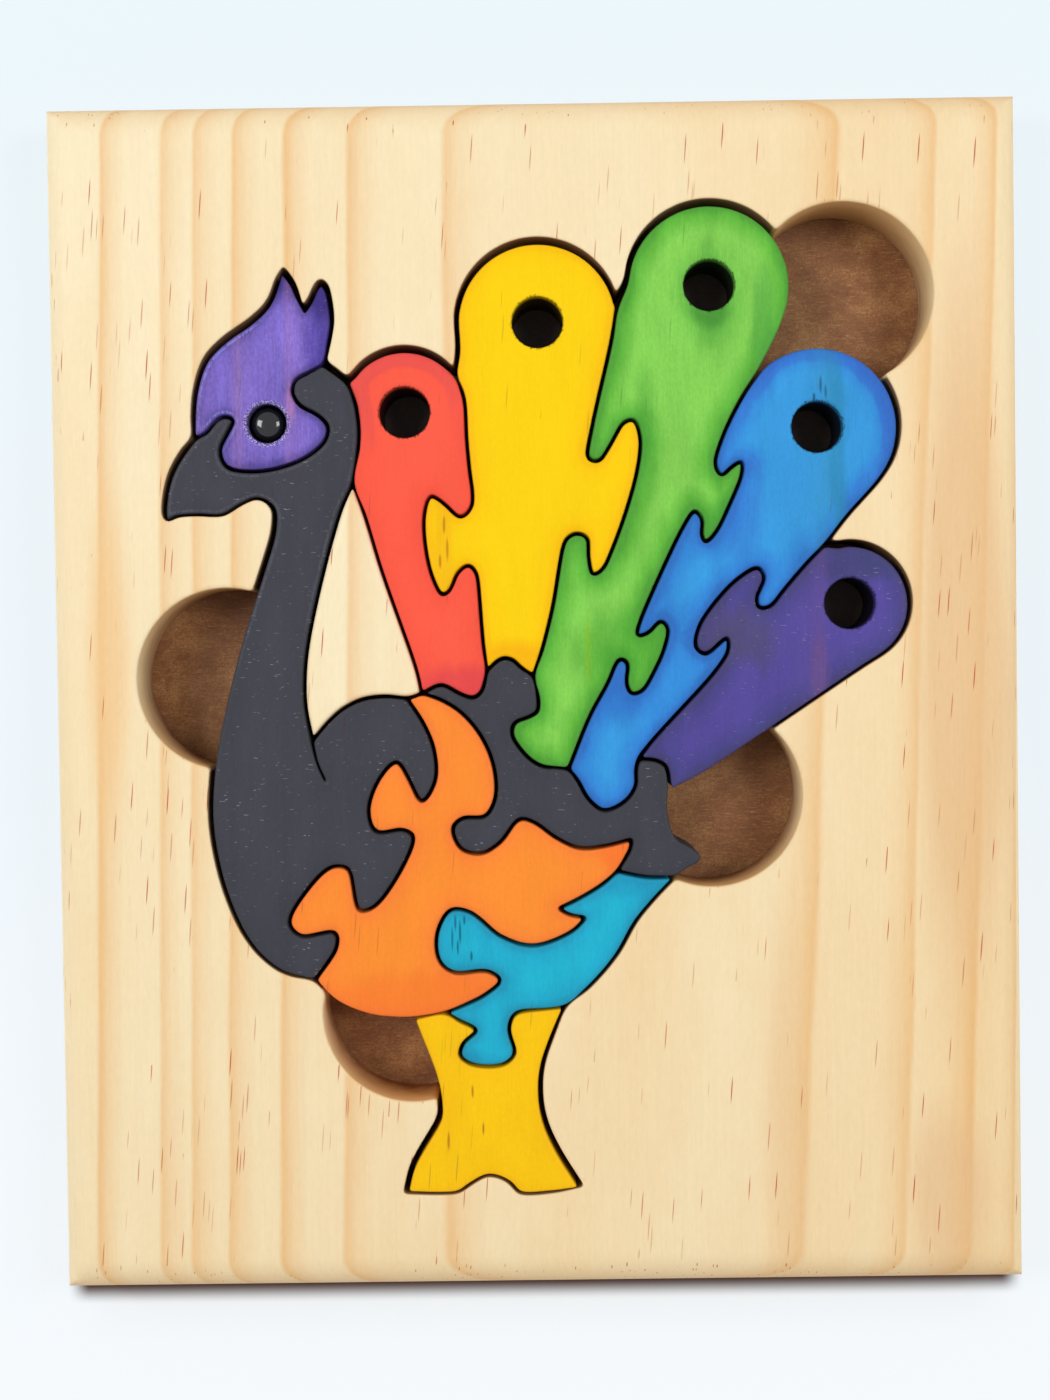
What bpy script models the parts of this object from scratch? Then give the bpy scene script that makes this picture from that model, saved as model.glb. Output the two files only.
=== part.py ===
"""Wooden tray puzzle of a peacock: eleven lift-out pieces sawn from the pine board that frames them.

The tray lies on its back. X points right, Y to the picture's top and Z out of the face, and the origin is in
the middle of the underside. Lengths are in millimetres, and MM turns them into Blender's metres.

Neighbouring pieces share one saw line. Each line is drawn once, along the middle of its cut, and a piece is
the loop of lines around it, moved inwards by half the gap.
"""
import math

import bmesh
import bpy
import numpy as np
from mathutils.geometry import intersect_line_line_2d, tessellate_polygon

MM = 0.001

# Board and backing
FIGURE_HEIGHT = 239.5
SIDE_RIM = 12.5
END_RIM = 14.8
BEVEL_WIDTH = 8.0
BEVEL_DROP = 5.5
BEVEL_STEPS = 3
BOARD_THICKNESS = 19.0
BACKING_THICKNESS = 3.2
SEAT_GAP = 0.3

# Cuts, holes and softened edges. OPENING_GAP is the gap below the figure, where the loose pieces rest; each
# of them has settled by SETTLING, so the gap is wider at their sides and widest above them.
PIECE_GAP = 0.9
OPENING_GAP = 0.6
SETTLING = 0.6
SLIT_WIDTH = 0.5
NOTCH_DIAMETER = 44.0
FEATHER_HOLE = 12.4
EYE_HOLE = 9.5
PIECE_CHAMFER = 1.0
BOARD_CHAMFER = 0.7
HOLE_CHAMFER = 0.4

# Eye
EYE_CLEARANCE = 0.3
EYE_RECESS = 0.8
EYE_DOME = 2.6
EYE_RIM = 2.2
EYE_SHOULDER = 1.9

# How closely the flat sides follow the curves, and how few edges a loop's small knot can have
CHORD_ERROR = 0.1
CURVE_STEPS = 12
DEGREES_PER_STEP = 3
HOLE_SIDES = 24
KNOT_EDGES = 6
TINY = 0.0001

BOARD_BOTTOM = BACKING_THICKNESS + SEAT_GAP
FACE = BOARD_BOTTOM + BOARD_THICKNESS

# Points where three or more saw lines meet, drawn in millimetres from the middle of the board
NAPE = (-50.4, 81.3)
THROAT = (-82.3, 63.4)
NECK_TOP = (-45.0, 77.0)
RED_TOP = (-18.7, 78.3)
YELLOW_TOP = (20.7, 94.6)
GREEN_SIDE = (54.8, 78.2)
BLUE_SIDE = (70.4, 36.2)
BACK_TOP = (32.0, -23.2)
BACK_FOOT = (33.0, -44.2)
LEG_RIGHT = (5.8, -75.5)
LEG_LEFT = (-31.3, -77.9)
BREAST_FOOT = (-55.0, -68.3)
ISLAND_TOP = (-43.9, 52.4)
ISLAND_CORNER = (-28.0, 1.1)
ISLAND_LEFT = (-31.6, 0.1)
ISLAND_TIP = (-54.7, -9.9)
RED_FOOT = (-12.1, 6.3)
YELLOW_FOOT = (-0.8, 5.0)
GREEN_FOOT = (7.4, -17.7)
BLUE_FOOT = (24.5, -15.4)
WING_TIP = (18.9, -42.7)
BELLY_LEFT = (-23.4, -76.7)

# Centres of the round holes and of the arcs that follow them
EYE = (-64.4, 67.0)
RED_EYE = (-31.1, 69.2)
YELLOW_EYE = (1.3, 90.4)
GREEN_EYE = (42.8, 98.7)
BLUE_EYE = (68.5, 64.3)
PURPLE_EYE = (76.0, 21.6)
NOTCH_CENTRES = ((-75.0, 5.4), (74.9, 96.3), (42.1, -24.6), (-31.2, -76.2))


def turn(centre, start, end):
    """Points every few degrees along the arc that turns counter-clockwise about the centre."""
    first = math.atan2(start[1] - centre[1], start[0] - centre[0])
    sweep = (math.atan2(end[1] - centre[1], end[0] - centre[0]) - first) % (2 * math.pi)
    count = max(2, math.ceil(math.degrees(sweep) / DEGREES_PER_STEP))
    radius = math.dist(centre, start)
    growth = math.dist(centre, end) - radius
    line = []
    for i in range(count + 1):
        angle = first + sweep * i / count
        reach = radius + growth * i / count
        line.append((centre[0] + reach * math.cos(angle), centre[1] + reach * math.sin(angle)))
    return line


def curve(*points):
    """A smooth line through the points: a centripetal Catmull-Rom curve."""
    def beyond(end, inner):
        return (2 * end[0] - inner[0], 2 * end[1] - inner[1])

    def blend(a, b, start, end, place):
        share = (place - start) / (end - start)
        return (a[0] + (b[0] - a[0]) * share, a[1] + (b[1] - a[1]) * share)

    ends = [beyond(points[0], points[1]), *points, beyond(points[-1], points[-2])]
    line = [points[0]]
    for a, b, c, d in zip(ends, ends[1:], ends[2:], ends[3:]):
        t1 = math.sqrt(math.dist(a, b))
        t2 = t1 + math.sqrt(math.dist(b, c))
        t3 = t2 + math.sqrt(math.dist(c, d))
        for step in range(1, CURVE_STEPS + 1):
            place = t1 + (t2 - t1) * step / CURVE_STEPS
            ab = blend(a, b, 0.0, t1, place)
            bc = blend(b, c, t1, t2, place)
            cd = blend(c, d, t2, t3, place)
            abc = blend(ab, bc, 0.0, t2, place)
            bcd = blend(bc, cd, t1, t3, place)
            line.append(blend(abc, bcd, t1, t2, place))
    return line


def inner_lines():
    """Saw lines between two pieces, and the blind slit that runs on below the bare island."""
    return {
        "head_neck": curve(
            NAPE, (-53.8, 79.3), (-57.3, 77.4), (-58.2, 74.8), (-56.6, 71.5), (-51.9, 68.7), (-49.7, 66.0),
            (-50.4, 62.8), (-54.4, 59.2), (-61.2, 56.4), (-68.4, 55.5), (-74.3, 56.7), (-75.9, 60.5),
            (-74.1, 64.7), (-72.6, 67.9), (-74.2, 68.8), (-76.4, 68.1), (-79.3, 64.9), THROAT),
        "neck_red": curve(NECK_TOP, (-43.1, 71.9), (-42.2, 64.7), (-42.8, 58.2), ISLAND_TOP),
        "neck_island": curve(
            ISLAND_TOP, (-46.6, 46.6), (-49.6, 37.3), (-52.3, 27.2), (-54.9, 16.2), (-56.2, 6.9),
            (-56.2, -1.5), ISLAND_TIP),
        "island_breast": curve(
            ISLAND_TIP, (-50.7, -5.3), (-46.9, -2.1), (-42.2, 0.0), (-37.1, 0.6), ISLAND_LEFT),
        "island_wing": curve(ISLAND_LEFT, (-30.0, 0.4), ISLAND_CORNER),
        "island_red": curve(
            ISLAND_CORNER, (-29.1, 6.5), (-32.9, 18.3), (-37.6, 32.2), (-41.4, 45.3), ISLAND_TOP),
        "slit": curve(ISLAND_TIP, (-53.6, -15.3), (-51.6, -20.0)),
        "neck_wing": curve(
            ISLAND_LEFT, (-28.1, -5.3), (-25.3, -12.0), (-25.0, -20.0), (-28.3, -25.0), (-31.3, -19.9),
            (-34.3, -15.4), (-38.3, -19.0), (-41.3, -27.0), (-39.6, -32.2), (-33.0, -31.9), (-30.6, -33.4),
            (-32.9, -40.3), (-40.4, -50.6), (-43.9, -51.4), (-45.3, -46.0), (-46.6, -41.2), (-50.6, -40.8),
            (-56.8, -46.6), (-61.0, -54.3), (-58.3, -57.4), (-49.9, -56.8), (-49.6, -60.2), BREAST_FOOT),
        "red_yellow": curve(
            RED_FOOT, (-12.8, 12.4), (-13.6, 23.0), (-14.4, 30.3), (-16.1, 32.1), (-18.6, 30.5),
            (-21.0, 25.9), (-22.6, 25.1), (-24.6, 28.4), (-26.5, 36.5), (-26.6, 45.0), (-25.0, 48.9),
            (-21.8, 47.0), (-17.9, 43.8), (-15.2, 46.4), (-15.6, 55.5), (-16.2, 63.0), (-16.7, 72.5),
            RED_TOP),
        "yellow_green": curve(
            YELLOW_FOOT, (1.3, 11.1), (4.1, 21.7), (6.0, 32.2), (7.6, 38.0), (10.0, 39.4), (12.6, 38.4),
            (13.0, 33.5), (14.0, 29.5), (16.2, 30.6), (19.1, 36.5), (22.4, 45.3), (25.0, 54.6),
            (25.8, 62.0), (24.3, 66.5), (22.0, 66.1), (18.2, 60.1), (15.6, 56.8), (13.2, 57.6),
            (13.5, 61.4), (16.9, 76.5), (19.3, 86.6), YELLOW_TOP),
        "green_blue": curve(
            GREEN_SIDE, (50.0, 70.8), (45.5, 61.6), (43.9, 55.5), (45.3, 53.0), (48.2, 55.2), (50.2, 56.1),
            (50.2, 53.0), (47.4, 46.6), (44.2, 39.8), (41.3, 36.9), (40.4, 38.8), (40.5, 42.4),
            (38.8, 44.4), (35.4, 39.6), (31.0, 30.6), (27.9, 23.8), (25.0, 17.2), (24.6, 14.5),
            (27.2, 15.2), (30.3, 17.9), (31.9, 16.3), (30.8, 10.7), (28.2, 5.3), (25.4, 1.0), (22.9, 0.5),
            (21.8, 3.0), (22.0, 8.0), (20.2, 8.8), (17.2, 3.1), (13.2, -4.0), (9.9, -11.8), GREEN_FOOT),
        "blue_purple": curve(
            BLUE_SIDE, (65.5, 31.2), (60.1, 25.0), (56.5, 21.0), (54.0, 21.0), (53.6, 23.4), (55.4, 28.2),
            (53.9, 30.5), (49.1, 28.0), (43.6, 22.5), (39.4, 16.2), (38.7, 11.5), (41.0, 9.8), (44.2, 12.2),
            (46.3, 13.6), (46.4, 10.4), (42.9, 5.2), (37.5, -0.8), (30.9, -7.8), (26.6, -12.5), BLUE_FOOT),
        "red_back": curve(RED_FOOT, (-13.5, 1.4), (-15.5, 0.0), (-18.8, 1.1), (-23.2, 3.2), ISLAND_CORNER),
        "yellow_back": curve(YELLOW_FOOT, (-3.7, 7.1), (-5.9, 9.1), (-8.2, 9.5), (-10.6, 7.9), RED_FOOT),
        "green_back": curve(
            GREEN_FOOT, (0.4, -16.6), (-3.7, -13.2), (-6.2, -8.8), (-5.5, -6.3), (-2.4, -5.0), (0.0, -3.6),
            (0.3, -0.5), YELLOW_FOOT),
        "blue_back": curve(
            BLUE_FOOT, (23.8, -18.0), (23.7, -21.7), (21.2, -25.5), (15.9, -27.8), (12.2, -25.0),
            (9.6, -20.4), GREEN_FOOT),
        "purple_back": curve(BACK_TOP, (31.8, -20.5), (31.0, -17.2), (28.6, -15.8), BLUE_FOOT),
        "back_wing": (
            curve(ISLAND_CORNER, (-23.6, -0.3), (-18.2, -3.8), (-13.4, -9.9), (-10.7, -17.0),
                  (-10.5, -24.5), (-13.0, -28.8), (-18.5, -29.3), (-20.9, -31.6), (-18.9, -36.7),
                  (-14.0, -37.9), (-9.4, -35.2), (-4.6, -29.7), (-1.0, -30.6), (4.0, -34.2), (9.8, -36.9),
                  (16.5, -36.4), (22.6, -34.9))
            + curve((22.6, -34.9), (22.1, -37.4), WING_TIP)),
        "back_belly": curve(WING_TIP, (26.2, -44.2), BACK_FOOT),
        "wing_belly": (
            curve(WING_TIP, (15.3, -45.8), (9.4, -49.3), (4.5, -51.6))
            + curve((4.5, -51.6), (7.2, -53.1), (11.2, -53.9))
            + curve((11.2, -53.9), (7.7, -57.2), (-1.6, -60.5), (-9.3, -58.3), (-17.0, -52.2),
                    (-21.7, -51.6), (-25.1, -57.3), (-24.6, -64.0), (-21.3, -66.8), (-12.8, -66.7),
                    (-9.9, -68.9), (-13.6, -72.4), BELLY_LEFT)),
        "wing_legs": curve(BELLY_LEFT, (-27.3, -77.3), LEG_LEFT),
        "belly_legs": curve(
            BELLY_LEFT, (-19.9, -78.7), (-16.0, -81.1), (-19.2, -84.4), (-19.9, -87.2), (-17.0, -89.4),
            (-9.4, -89.5), (-6.7, -87.0), (-7.9, -80.8), (-6.4, -77.2), (-0.9, -76.2), LEG_RIGHT),
    }


def edge_lines():
    """Lines around the outside of the figure, counter-clockwise from the throat."""
    return {
        "neck_edge": (
            curve(THROAT, (-85.2, 59.9), (-88.0, 54.8), (-89.4, 49.1), (-89.6, 45.0), (-89.0, 43.8),
                  (-87.0, 44.8))
            + curve((-87.0, 44.8), (-81.5, 45.2), (-75.5, 45.1), (-71.0, 47.6), (-66.9, 49.0), (-63.4, 46.8),
                    (-63.2, 41.5), (-66.1, 31.8), (-69.0, 22.8), (-72.0, 14.0), (-74.7, 4.0), (-77.0, -5.3),
                    (-79.0, -16.5), (-79.7, -28.0), (-78.5, -38.2), (-75.2, -50.0), (-70.1, -59.8),
                    (-63.5, -65.8), (-57.5, -67.8), BREAST_FOOT)),
        "wing_edge": curve(BREAST_FOOT, (-50.7, -72.9), (-45.6, -75.7), (-39.7, -77.4), LEG_LEFT),
        "legs_edge": (
            curve(LEG_LEFT, (-29.0, -84.2), (-26.2, -91.8), (-25.0, -98.5), (-25.2, -102.3),
                  (-28.0, -107.2), (-31.9, -114.2), (-33.6, -120.6))
            + curve((-33.6, -120.6), (-20.8, -120.6), (-18.3, -119.0), (-13.4, -116.6), (-8.9, -118.0),
                    (-5.9, -120.9))
            + curve((-5.9, -120.9), (1.6, -120.9), (9.3, -120.0))
            + curve((9.3, -120.0), (6.3, -115.2), (3.3, -110.0), (0.9, -104.5), (-0.3, -99.0),
                    (-0.1, -91.0), (2.4, -83.2), LEG_RIGHT)),
        "belly_edge": curve(LEG_RIGHT, (12.3, -70.2), (18.8, -62.6), (23.3, -54.9), (28.0, -49.3), BACK_FOOT),
        "back_edge": curve(
            BACK_FOOT, (36.0, -42.4), (39.3, -40.6), (39.9, -38.9), (37.7, -36.7), (33.7, -34.2),
            (31.9, -28.0), BACK_TOP),
        "purple_edge": (
            curve(BACK_TOP, (39.9, -19.3), (49.9, -12.8), (58.5, -7.3), (70.4, 0.6), (79.5, 6.6))
            + turn(PURPLE_EYE, (84.2, 9.5), (74.7, 36.1)) + [(73.6, 35.8), BLUE_SIDE]),
        "blue_edge": (
            curve(BLUE_SIDE, (75.3, 42.4), (79.5, 47.0), (83.3, 51.2), (85.8, 54.8))
            + turn(BLUE_EYE, (86.7, 56.6), (55.8, 79.5)) + [GREEN_SIDE]),
        "green_edge": (
            curve(GREEN_SIDE, (57.7, 83.4), (60.0, 88.0)) + turn(GREEN_EYE, (61.8, 92.9), (23.1, 101.5))
            + curve((22.7, 99.6), (21.7, 96.9), YELLOW_TOP)),
        "yellow_edge": (
            [YELLOW_TOP] + turn(YELLOW_EYE, (20.4, 94.8), (-18.2, 92.1))
            + curve((-18.1, 88.0), (-18.0, 83.7), RED_TOP)),
        "red_edge": [RED_TOP] + turn(RED_EYE, (-18.9, 78.4), (-43.5, 78.2)) + [NECK_TOP],
        "nape_edge": curve(NECK_TOP, (-47.4, 79.1), NAPE),
        "crest_edge": (
            curve(NAPE, (-50.1, 82.9), (-49.0, 87.0), (-48.3, 91.7), (-48.8, 96.5), (-49.6, 99.8),
                  (-50.7, 100.8), (-51.8, 99.9), (-53.6, 96.2), (-55.5, 93.6))
            + curve((-55.5, 93.6), (-56.3, 96.6), (-57.6, 100.5), (-60.4, 104.4))
            + curve((-60.4, 104.4), (-61.5, 100.6), (-63.7, 95.7), (-68.4, 91.3), (-74.3, 87.3),
                    (-78.9, 82.6), (-81.5, 75.3), (-82.2, 69.0), THROAT)),
    }


# Each piece: its finish, its hole, and the lines around it counter-clockwise. A minus sign walks a line
# backwards.
PIECES = {
    "piece_head": ("violet", (EYE, EYE_HOLE), "crest_edge -head_neck"),
    "piece_neck": (
        "charcoal", None,
        "head_neck neck_edge -neck_wing -island_breast slit -slit -neck_island -neck_red nape_edge"),
    "piece_red_feather": (
        "red", (RED_EYE, FEATHER_HOLE), "neck_red -island_red -red_back red_yellow red_edge"),
    "piece_yellow_feather": (
        "yellow", (YELLOW_EYE, FEATHER_HOLE), "-red_yellow -yellow_back yellow_green yellow_edge"),
    "piece_green_feather": (
        "green", (GREEN_EYE, FEATHER_HOLE), "-yellow_green -green_back -green_blue green_edge"),
    "piece_blue_feather": (
        "blue", (BLUE_EYE, FEATHER_HOLE), "green_blue -blue_back -blue_purple blue_edge"),
    "piece_purple_feather": (
        "purple", (PURPLE_EYE, FEATHER_HOLE), "blue_purple -purple_back purple_edge"),
    "piece_back": (
        "charcoal", None,
        "back_wing back_belly back_edge purple_back blue_back green_back yellow_back red_back"),
    "piece_wing": (
        "orange", None, "neck_wing wing_edge -wing_legs -wing_belly -back_wing -island_wing"),
    "piece_belly": ("teal", None, "wing_belly belly_legs belly_edge -back_belly"),
    "piece_legs": ("leg yellow", None, "wing_legs legs_edge -belly_legs"),
}

# Colour and roughness of each finish
FINISHES = {
    "pine": ((0.89, 0.74, 0.50), 0.55),
    "hardboard": ((0.16, 0.06, 0.02), 0.6),
    "violet": ((0.19, 0.12, 0.55), 0.5),
    "charcoal": ((0.06, 0.065, 0.085), 0.5),
    "red": ((0.93, 0.09, 0.05), 0.5),
    "yellow": ((0.97, 0.63, 0.01), 0.5),
    "green": ((0.15, 0.49, 0.06), 0.5),
    "blue": ((0.03, 0.27, 0.69), 0.5),
    "purple": ((0.09, 0.05, 0.29), 0.5),
    "orange": ((0.98, 0.25, 0.03), 0.5),
    "teal": ((0.02, 0.38, 0.58), 0.5),
    "leg yellow": ((0.94, 0.55, 0.01), 0.5),
    "gloss black": ((0.01, 0.012, 0.012), 0.08),
}


def thinned(line):
    """The points that the line needs to stay within CHORD_ERROR of its curve."""
    if len(line) < 3:
        return line
    (x0, y0), (x1, y1) = line[0], line[-1]
    length = math.dist(line[0], line[-1])
    if length < TINY:
        bulges = [math.dist(line[0], point) for point in line]
    else:
        bulges = [abs((x1 - x0) * (y - y0) - (y1 - y0) * (x - x0)) / length for x, y in line]
    widest = max(range(len(line)), key=bulges.__getitem__)
    if bulges[widest] <= CHORD_ERROR:
        return [line[0], line[-1]]
    return thinned(line[:widest + 1])[:-1] + thinned(line[widest:])


def scaled(line, scale):
    return [(x * scale, y * scale) for x, y in line]


def half_gap(line_name, outward):
    """How far an edge of a piece keeps from the line's middle; outward points away from the piece."""
    if line_name.endswith("_edge"):
        return (OPENING_GAP + SETTLING * (1 + outward[1])) / 2
    if line_name.endswith("slit"):
        return SLIT_WIDTH / 2
    return PIECE_GAP / 2


def saw_line_loop(names, lines):
    """The closed loop along the named lines, and how far each of its edges moves inwards."""
    loop, gaps = [], []
    for name in names.split():
        line = lines[name.strip("-")]
        if name.startswith("-"):
            line = line[::-1]
        for start, end in zip(line, line[1:]):
            length = math.dist(start, end)
            if length > TINY:
                loop.append(start)
                gaps.append(half_gap(name, ((end[1] - start[1]) / length, (start[0] - end[0]) / length)))
    return loop, gaps


def moved_loop(loop, gaps):
    """The counter-clockwise loop with each edge moved inwards by its own gap (outwards where negative)."""
    straight, folded = 0.05, -0.2
    points = np.array(loop)
    edges = np.roll(points, -1, axis=0) - points
    lengths = np.hypot(*edges.T)
    along = edges / lengths[:, None]
    inward = np.stack([-along[:, 1], along[:, 0]], axis=1)
    moved = []
    for i, here in enumerate(points):
        bend = along[i - 1][0] * along[i][1] - along[i - 1][1] * along[i][0]
        facing = along[i - 1] @ along[i]
        before = here + inward[i - 1] * gaps[i - 1]
        after = here + inward[i] * gaps[i]
        if abs(bend) < straight and facing > 0:
            moved.append((before + after) / 2)
        elif facing < folded and bend * gaps[i] <= 0:
            moved.extend((before, after))
        else:
            slide = ((after - before) @ inward[i]) / (along[i - 1] @ inward[i])
            moved.append(before + along[i - 1] * slide)
    reach = np.abs(gaps)
    return untangled([tuple(point) for point in moved if clear_of_edges(point, points, edges, lengths, reach)])


def clear_of_edges(point, starts, edges, lengths, reach):
    """True where a moved point keeps very nearly its gap to every edge of the loop it came from."""
    nearly = 0.96
    offset = point - starts
    share = np.clip(np.sum(offset * edges, axis=1) / lengths ** 2, 0, 1)
    distance = np.hypot(*(offset - edges * share[:, None]).T)
    return bool(np.all(distance > reach * nearly - TINY))


def untangled(loop):
    """The loop without the small knots that moving a tight bend inwards can leave."""
    start = 0
    while start < len(loop):
        for ahead in range(KNOT_EDGES, 1, -1):
            a, b = loop[start], loop[(start + 1) % len(loop)]
            c, d = loop[(start + ahead) % len(loop)], loop[(start + ahead + 1) % len(loop)]
            meeting = intersect_line_line_2d(a, b, c, d)
            if meeting:
                loop = loop[start + 1:] + loop[:start + 1]
                loop = [tuple(meeting)] + loop[ahead:]
                start = -1
                break
        start += 1
    return loop


def softened(loop, reach):
    """The loop moved inwards by reach, or by less where a tip or a hook is too narrow for it."""
    samples_per_edge, narrow_share = 5, 0.45
    points = np.array(loop)
    before = points - np.roll(points, 1, axis=0)
    after = np.roll(points, -1, axis=0) - points
    samples = np.concatenate([points + after * i / samples_per_edge for i in range(samples_per_edge)])
    tangent = before / np.hypot(*before.T)[:, None] + after / np.hypot(*after.T)[:, None]
    tangent /= np.hypot(*tangent.T)[:, None]
    inward = np.stack([-tangent[:, 1], tangent[:, 0]], axis=1) * np.sign(reach)
    soft = []
    for point, normal in zip(points, inward):
        offset = samples - point
        depth = offset @ normal
        facing = depth > TINY
        circle_radii = np.sum(offset[facing] ** 2, axis=1) / (2 * depth[facing])
        step = min(abs(reach), narrow_share * circle_radii.min()) if len(circle_radii) else abs(reach)
        soft.append(tuple(point + normal * step))
    return soft


def with_notches(loop, centres, radius):
    """The opening's loop with each round notch joined to it, so that it follows the notch's arc there."""
    for centre in centres:
        inside = [math.dist(point, centre) < radius for point in loop]
        if not any(inside):
            continue
        first = next(i for i in range(len(loop)) if inside[i] and not inside[i - 1])
        loop = loop[first:] + loop[:first]
        inside = inside[first:] + inside[:first]
        last = max(i for i in range(len(loop)) if inside[i])
        entry = circle_crossing(loop[-1], loop[0], centre, radius)
        leave = circle_crossing(loop[last + 1], loop[last], centre, radius)
        loop = thinned(turn(centre, entry, leave)) + loop[last + 1:]
    return loop


def circle_crossing(outer, inner, centre, radius):
    """Where the segment from a point outside the circle to one inside it crosses the circle."""
    while math.dist(outer, inner) > TINY:
        middle = ((outer[0] + inner[0]) / 2, (outer[1] + inner[1]) / 2)
        if math.dist(middle, centre) > radius:
            outer = middle
        else:
            inner = middle
    return outer


def ring(loop, z, place):
    """The loop as a ring of 3-D points at height z, in metres from place."""
    return [((x - place[0]) * MM, (y - place[1]) * MM, (z - place[2]) * MM) for x, y in loop]


def solid(name, material, walls, place):
    """One closed solid with flat ends. Each wall is a stack of rings from the bottom up, the outside first."""
    mesh = bmesh.new()
    stacks = [[[mesh.verts.new(point) for point in ring] for ring in wall] for wall in walls]
    for stack in stacks:
        for lower, upper in zip(stack, stack[1:]):
            for i in range(len(lower)):
                mesh.faces.new((lower[i - 1], lower[i], upper[i], upper[i - 1]))
    for end in (0, -1):
        rims = [stack[end] for stack in stacks]
        corners = [corner for rim in rims for corner in rim]
        for triangle in tessellate_polygon([[corner.co for corner in rim] for rim in rims]):
            mesh.faces.new([corners[i] for i in triangle])
    bmesh.ops.recalc_face_normals(mesh, faces=mesh.faces[:])
    data = bpy.data.meshes.new(name)
    mesh.to_mesh(data)
    mesh.free()
    data.materials.append(material)
    thing = bpy.data.objects.new(name, data)
    thing.location = [value * MM for value in place]
    bpy.context.collection.objects.link(thing)
    data.shade_smooth()
    data.set_sharp_from_angle(angle=math.radians(30))
    return thing


def finish(part_name, finish_name):
    """A sub-part's own material, painted or bare."""
    colour, roughness = FINISHES[finish_name]
    material = bpy.data.materials.new(f"{part_name} {finish_name}")
    material.use_nodes = True
    shader = material.node_tree.nodes["Principled BSDF"]
    shader.inputs["Base Color"].default_value = (*colour, 1.0)
    shader.inputs["Roughness"].default_value = roughness
    shader.inputs["Metallic"].default_value = 0.0
    material.diffuse_color = (*colour, 1.0)
    return material


def chamfered_wall(loop, chamfer, place):
    """A straight wall along the loop with an eased upper edge; an opening's chamfer is negative."""
    return [
        ring(loop, BOARD_BOTTOM, place),
        ring(loop, FACE - abs(chamfer), place),
        ring(softened(loop, chamfer), FACE, place),
    ]


def circle(centre, radius):
    angles = [2 * math.pi * i / HOLE_SIDES for i in range(HOLE_SIDES)]
    return [(centre[0] + radius * math.cos(a), centre[1] + radius * math.sin(a)) for a in angles]


def hole_wall(centre, diameter, place):
    """The wall of a round hole through a piece, with an eased upper edge."""
    radius = diameter / 2
    return [
        ring(circle(centre, radius), BOARD_BOTTOM, place),
        ring(circle(centre, radius), FACE - HOLE_CHAMFER, place),
        ring(circle(centre, radius + HOLE_CHAMFER), FACE, place),
    ]


def rectangle(half_width, half_height):
    return [(-half_width, -half_height), (half_width, -half_height),
            (half_width, half_height), (-half_width, half_height)]


def middle_of(loop):
    """The area's centre, rounded to whole millimetres so that a joint has a plain place."""
    area = x_sum = y_sum = 0.0
    for (x0, y0), (x1, y1) in zip(loop, loop[1:] + loop[:1]):
        cross = x0 * y1 - x1 * y0
        area += cross
        x_sum += (x0 + x1) * cross
        y_sum += (y0 + y1) * cross
    return (round(x_sum / (3 * area)), round(y_sum / (3 * area)), BOARD_BOTTOM)


def make_board(opening, half_width, half_height):
    """The pine board: its outer edge rounds over into the face, and the opening goes right through."""
    middle = (0.0, 0.0, 0.0)
    outside = [ring(rectangle(half_width, half_height), BOARD_BOTTOM, middle)]
    for step in range(BEVEL_STEPS + 1):
        angle = math.pi / 2 * step / BEVEL_STEPS
        inset = BEVEL_WIDTH * (1 - math.cos(angle))
        height = FACE - BEVEL_DROP * (1 - math.sin(angle))
        outside.append(ring(rectangle(half_width - inset, half_height - inset), height, middle))
    walls = [outside, chamfered_wall(opening, -BOARD_CHAMFER, middle)]
    solid("frame_board", finish("frame_board", "pine"), walls, middle)


def make_backing(half_width, half_height):
    middle = (0.0, 0.0, 0.0)
    sheet = rectangle(half_width, half_height)
    wall = [ring(sheet, 0.0, middle), ring(sheet, BACKING_THICKNESS, middle)]
    solid("backing_board", finish("backing_board", "hardboard"), [wall], middle)


def make_island(lines):
    """The small piece of bare pine that stays glued to the backing beside the neck."""
    island = moved_loop(*saw_line_loop("neck_island island_breast island_wing island_red", lines))
    place = middle_of(island)
    solid("neck_island", finish("neck_island", "pine"), [chamfered_wall(island, BOARD_CHAMFER, place)], place)


def make_piece(name, lines, scale):
    """One lift-out piece, with its round hole where it has one."""
    finish_name, hole, around = PIECES[name]
    loop = moved_loop(*saw_line_loop(around, lines))
    place = middle_of(loop)
    walls = [chamfered_wall(loop, PIECE_CHAMFER, place)]
    if hole:
        (centre,) = scaled([hole[0]], scale)
        walls.append(hole_wall(centre, hole[1], place))
    return solid(name, finish(name, finish_name), walls, place)


def make_eye(head, centre):
    """A domed plug: a rim that fills the hole but for the clearance, and a shank down to the underside."""
    rim = EYE_HOLE / 2 - EYE_CLEARANCE
    shank = rim - EYE_SHOULDER
    rim_top = FACE - EYE_RECESS - EYE_DOME
    rim_bottom = rim_top - EYE_RIM
    profile = [(shank, BOARD_BOTTOM), (shank, rim_bottom), (rim, rim_bottom)]
    for degrees in (0, 15, 30, 45, 60, 72, 84):
        angle = math.radians(degrees)
        profile.append((rim * math.cos(angle), rim_top + EYE_DOME * math.sin(angle)))
    place = (*centre, BOARD_BOTTOM)
    rings = [ring(circle(centre, radius), height, place) for radius, height in profile]
    eye = solid("eye", finish("eye", "gloss black"), [rings], place)
    eye.parent = head
    eye.location = eye.location - head.location


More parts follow.
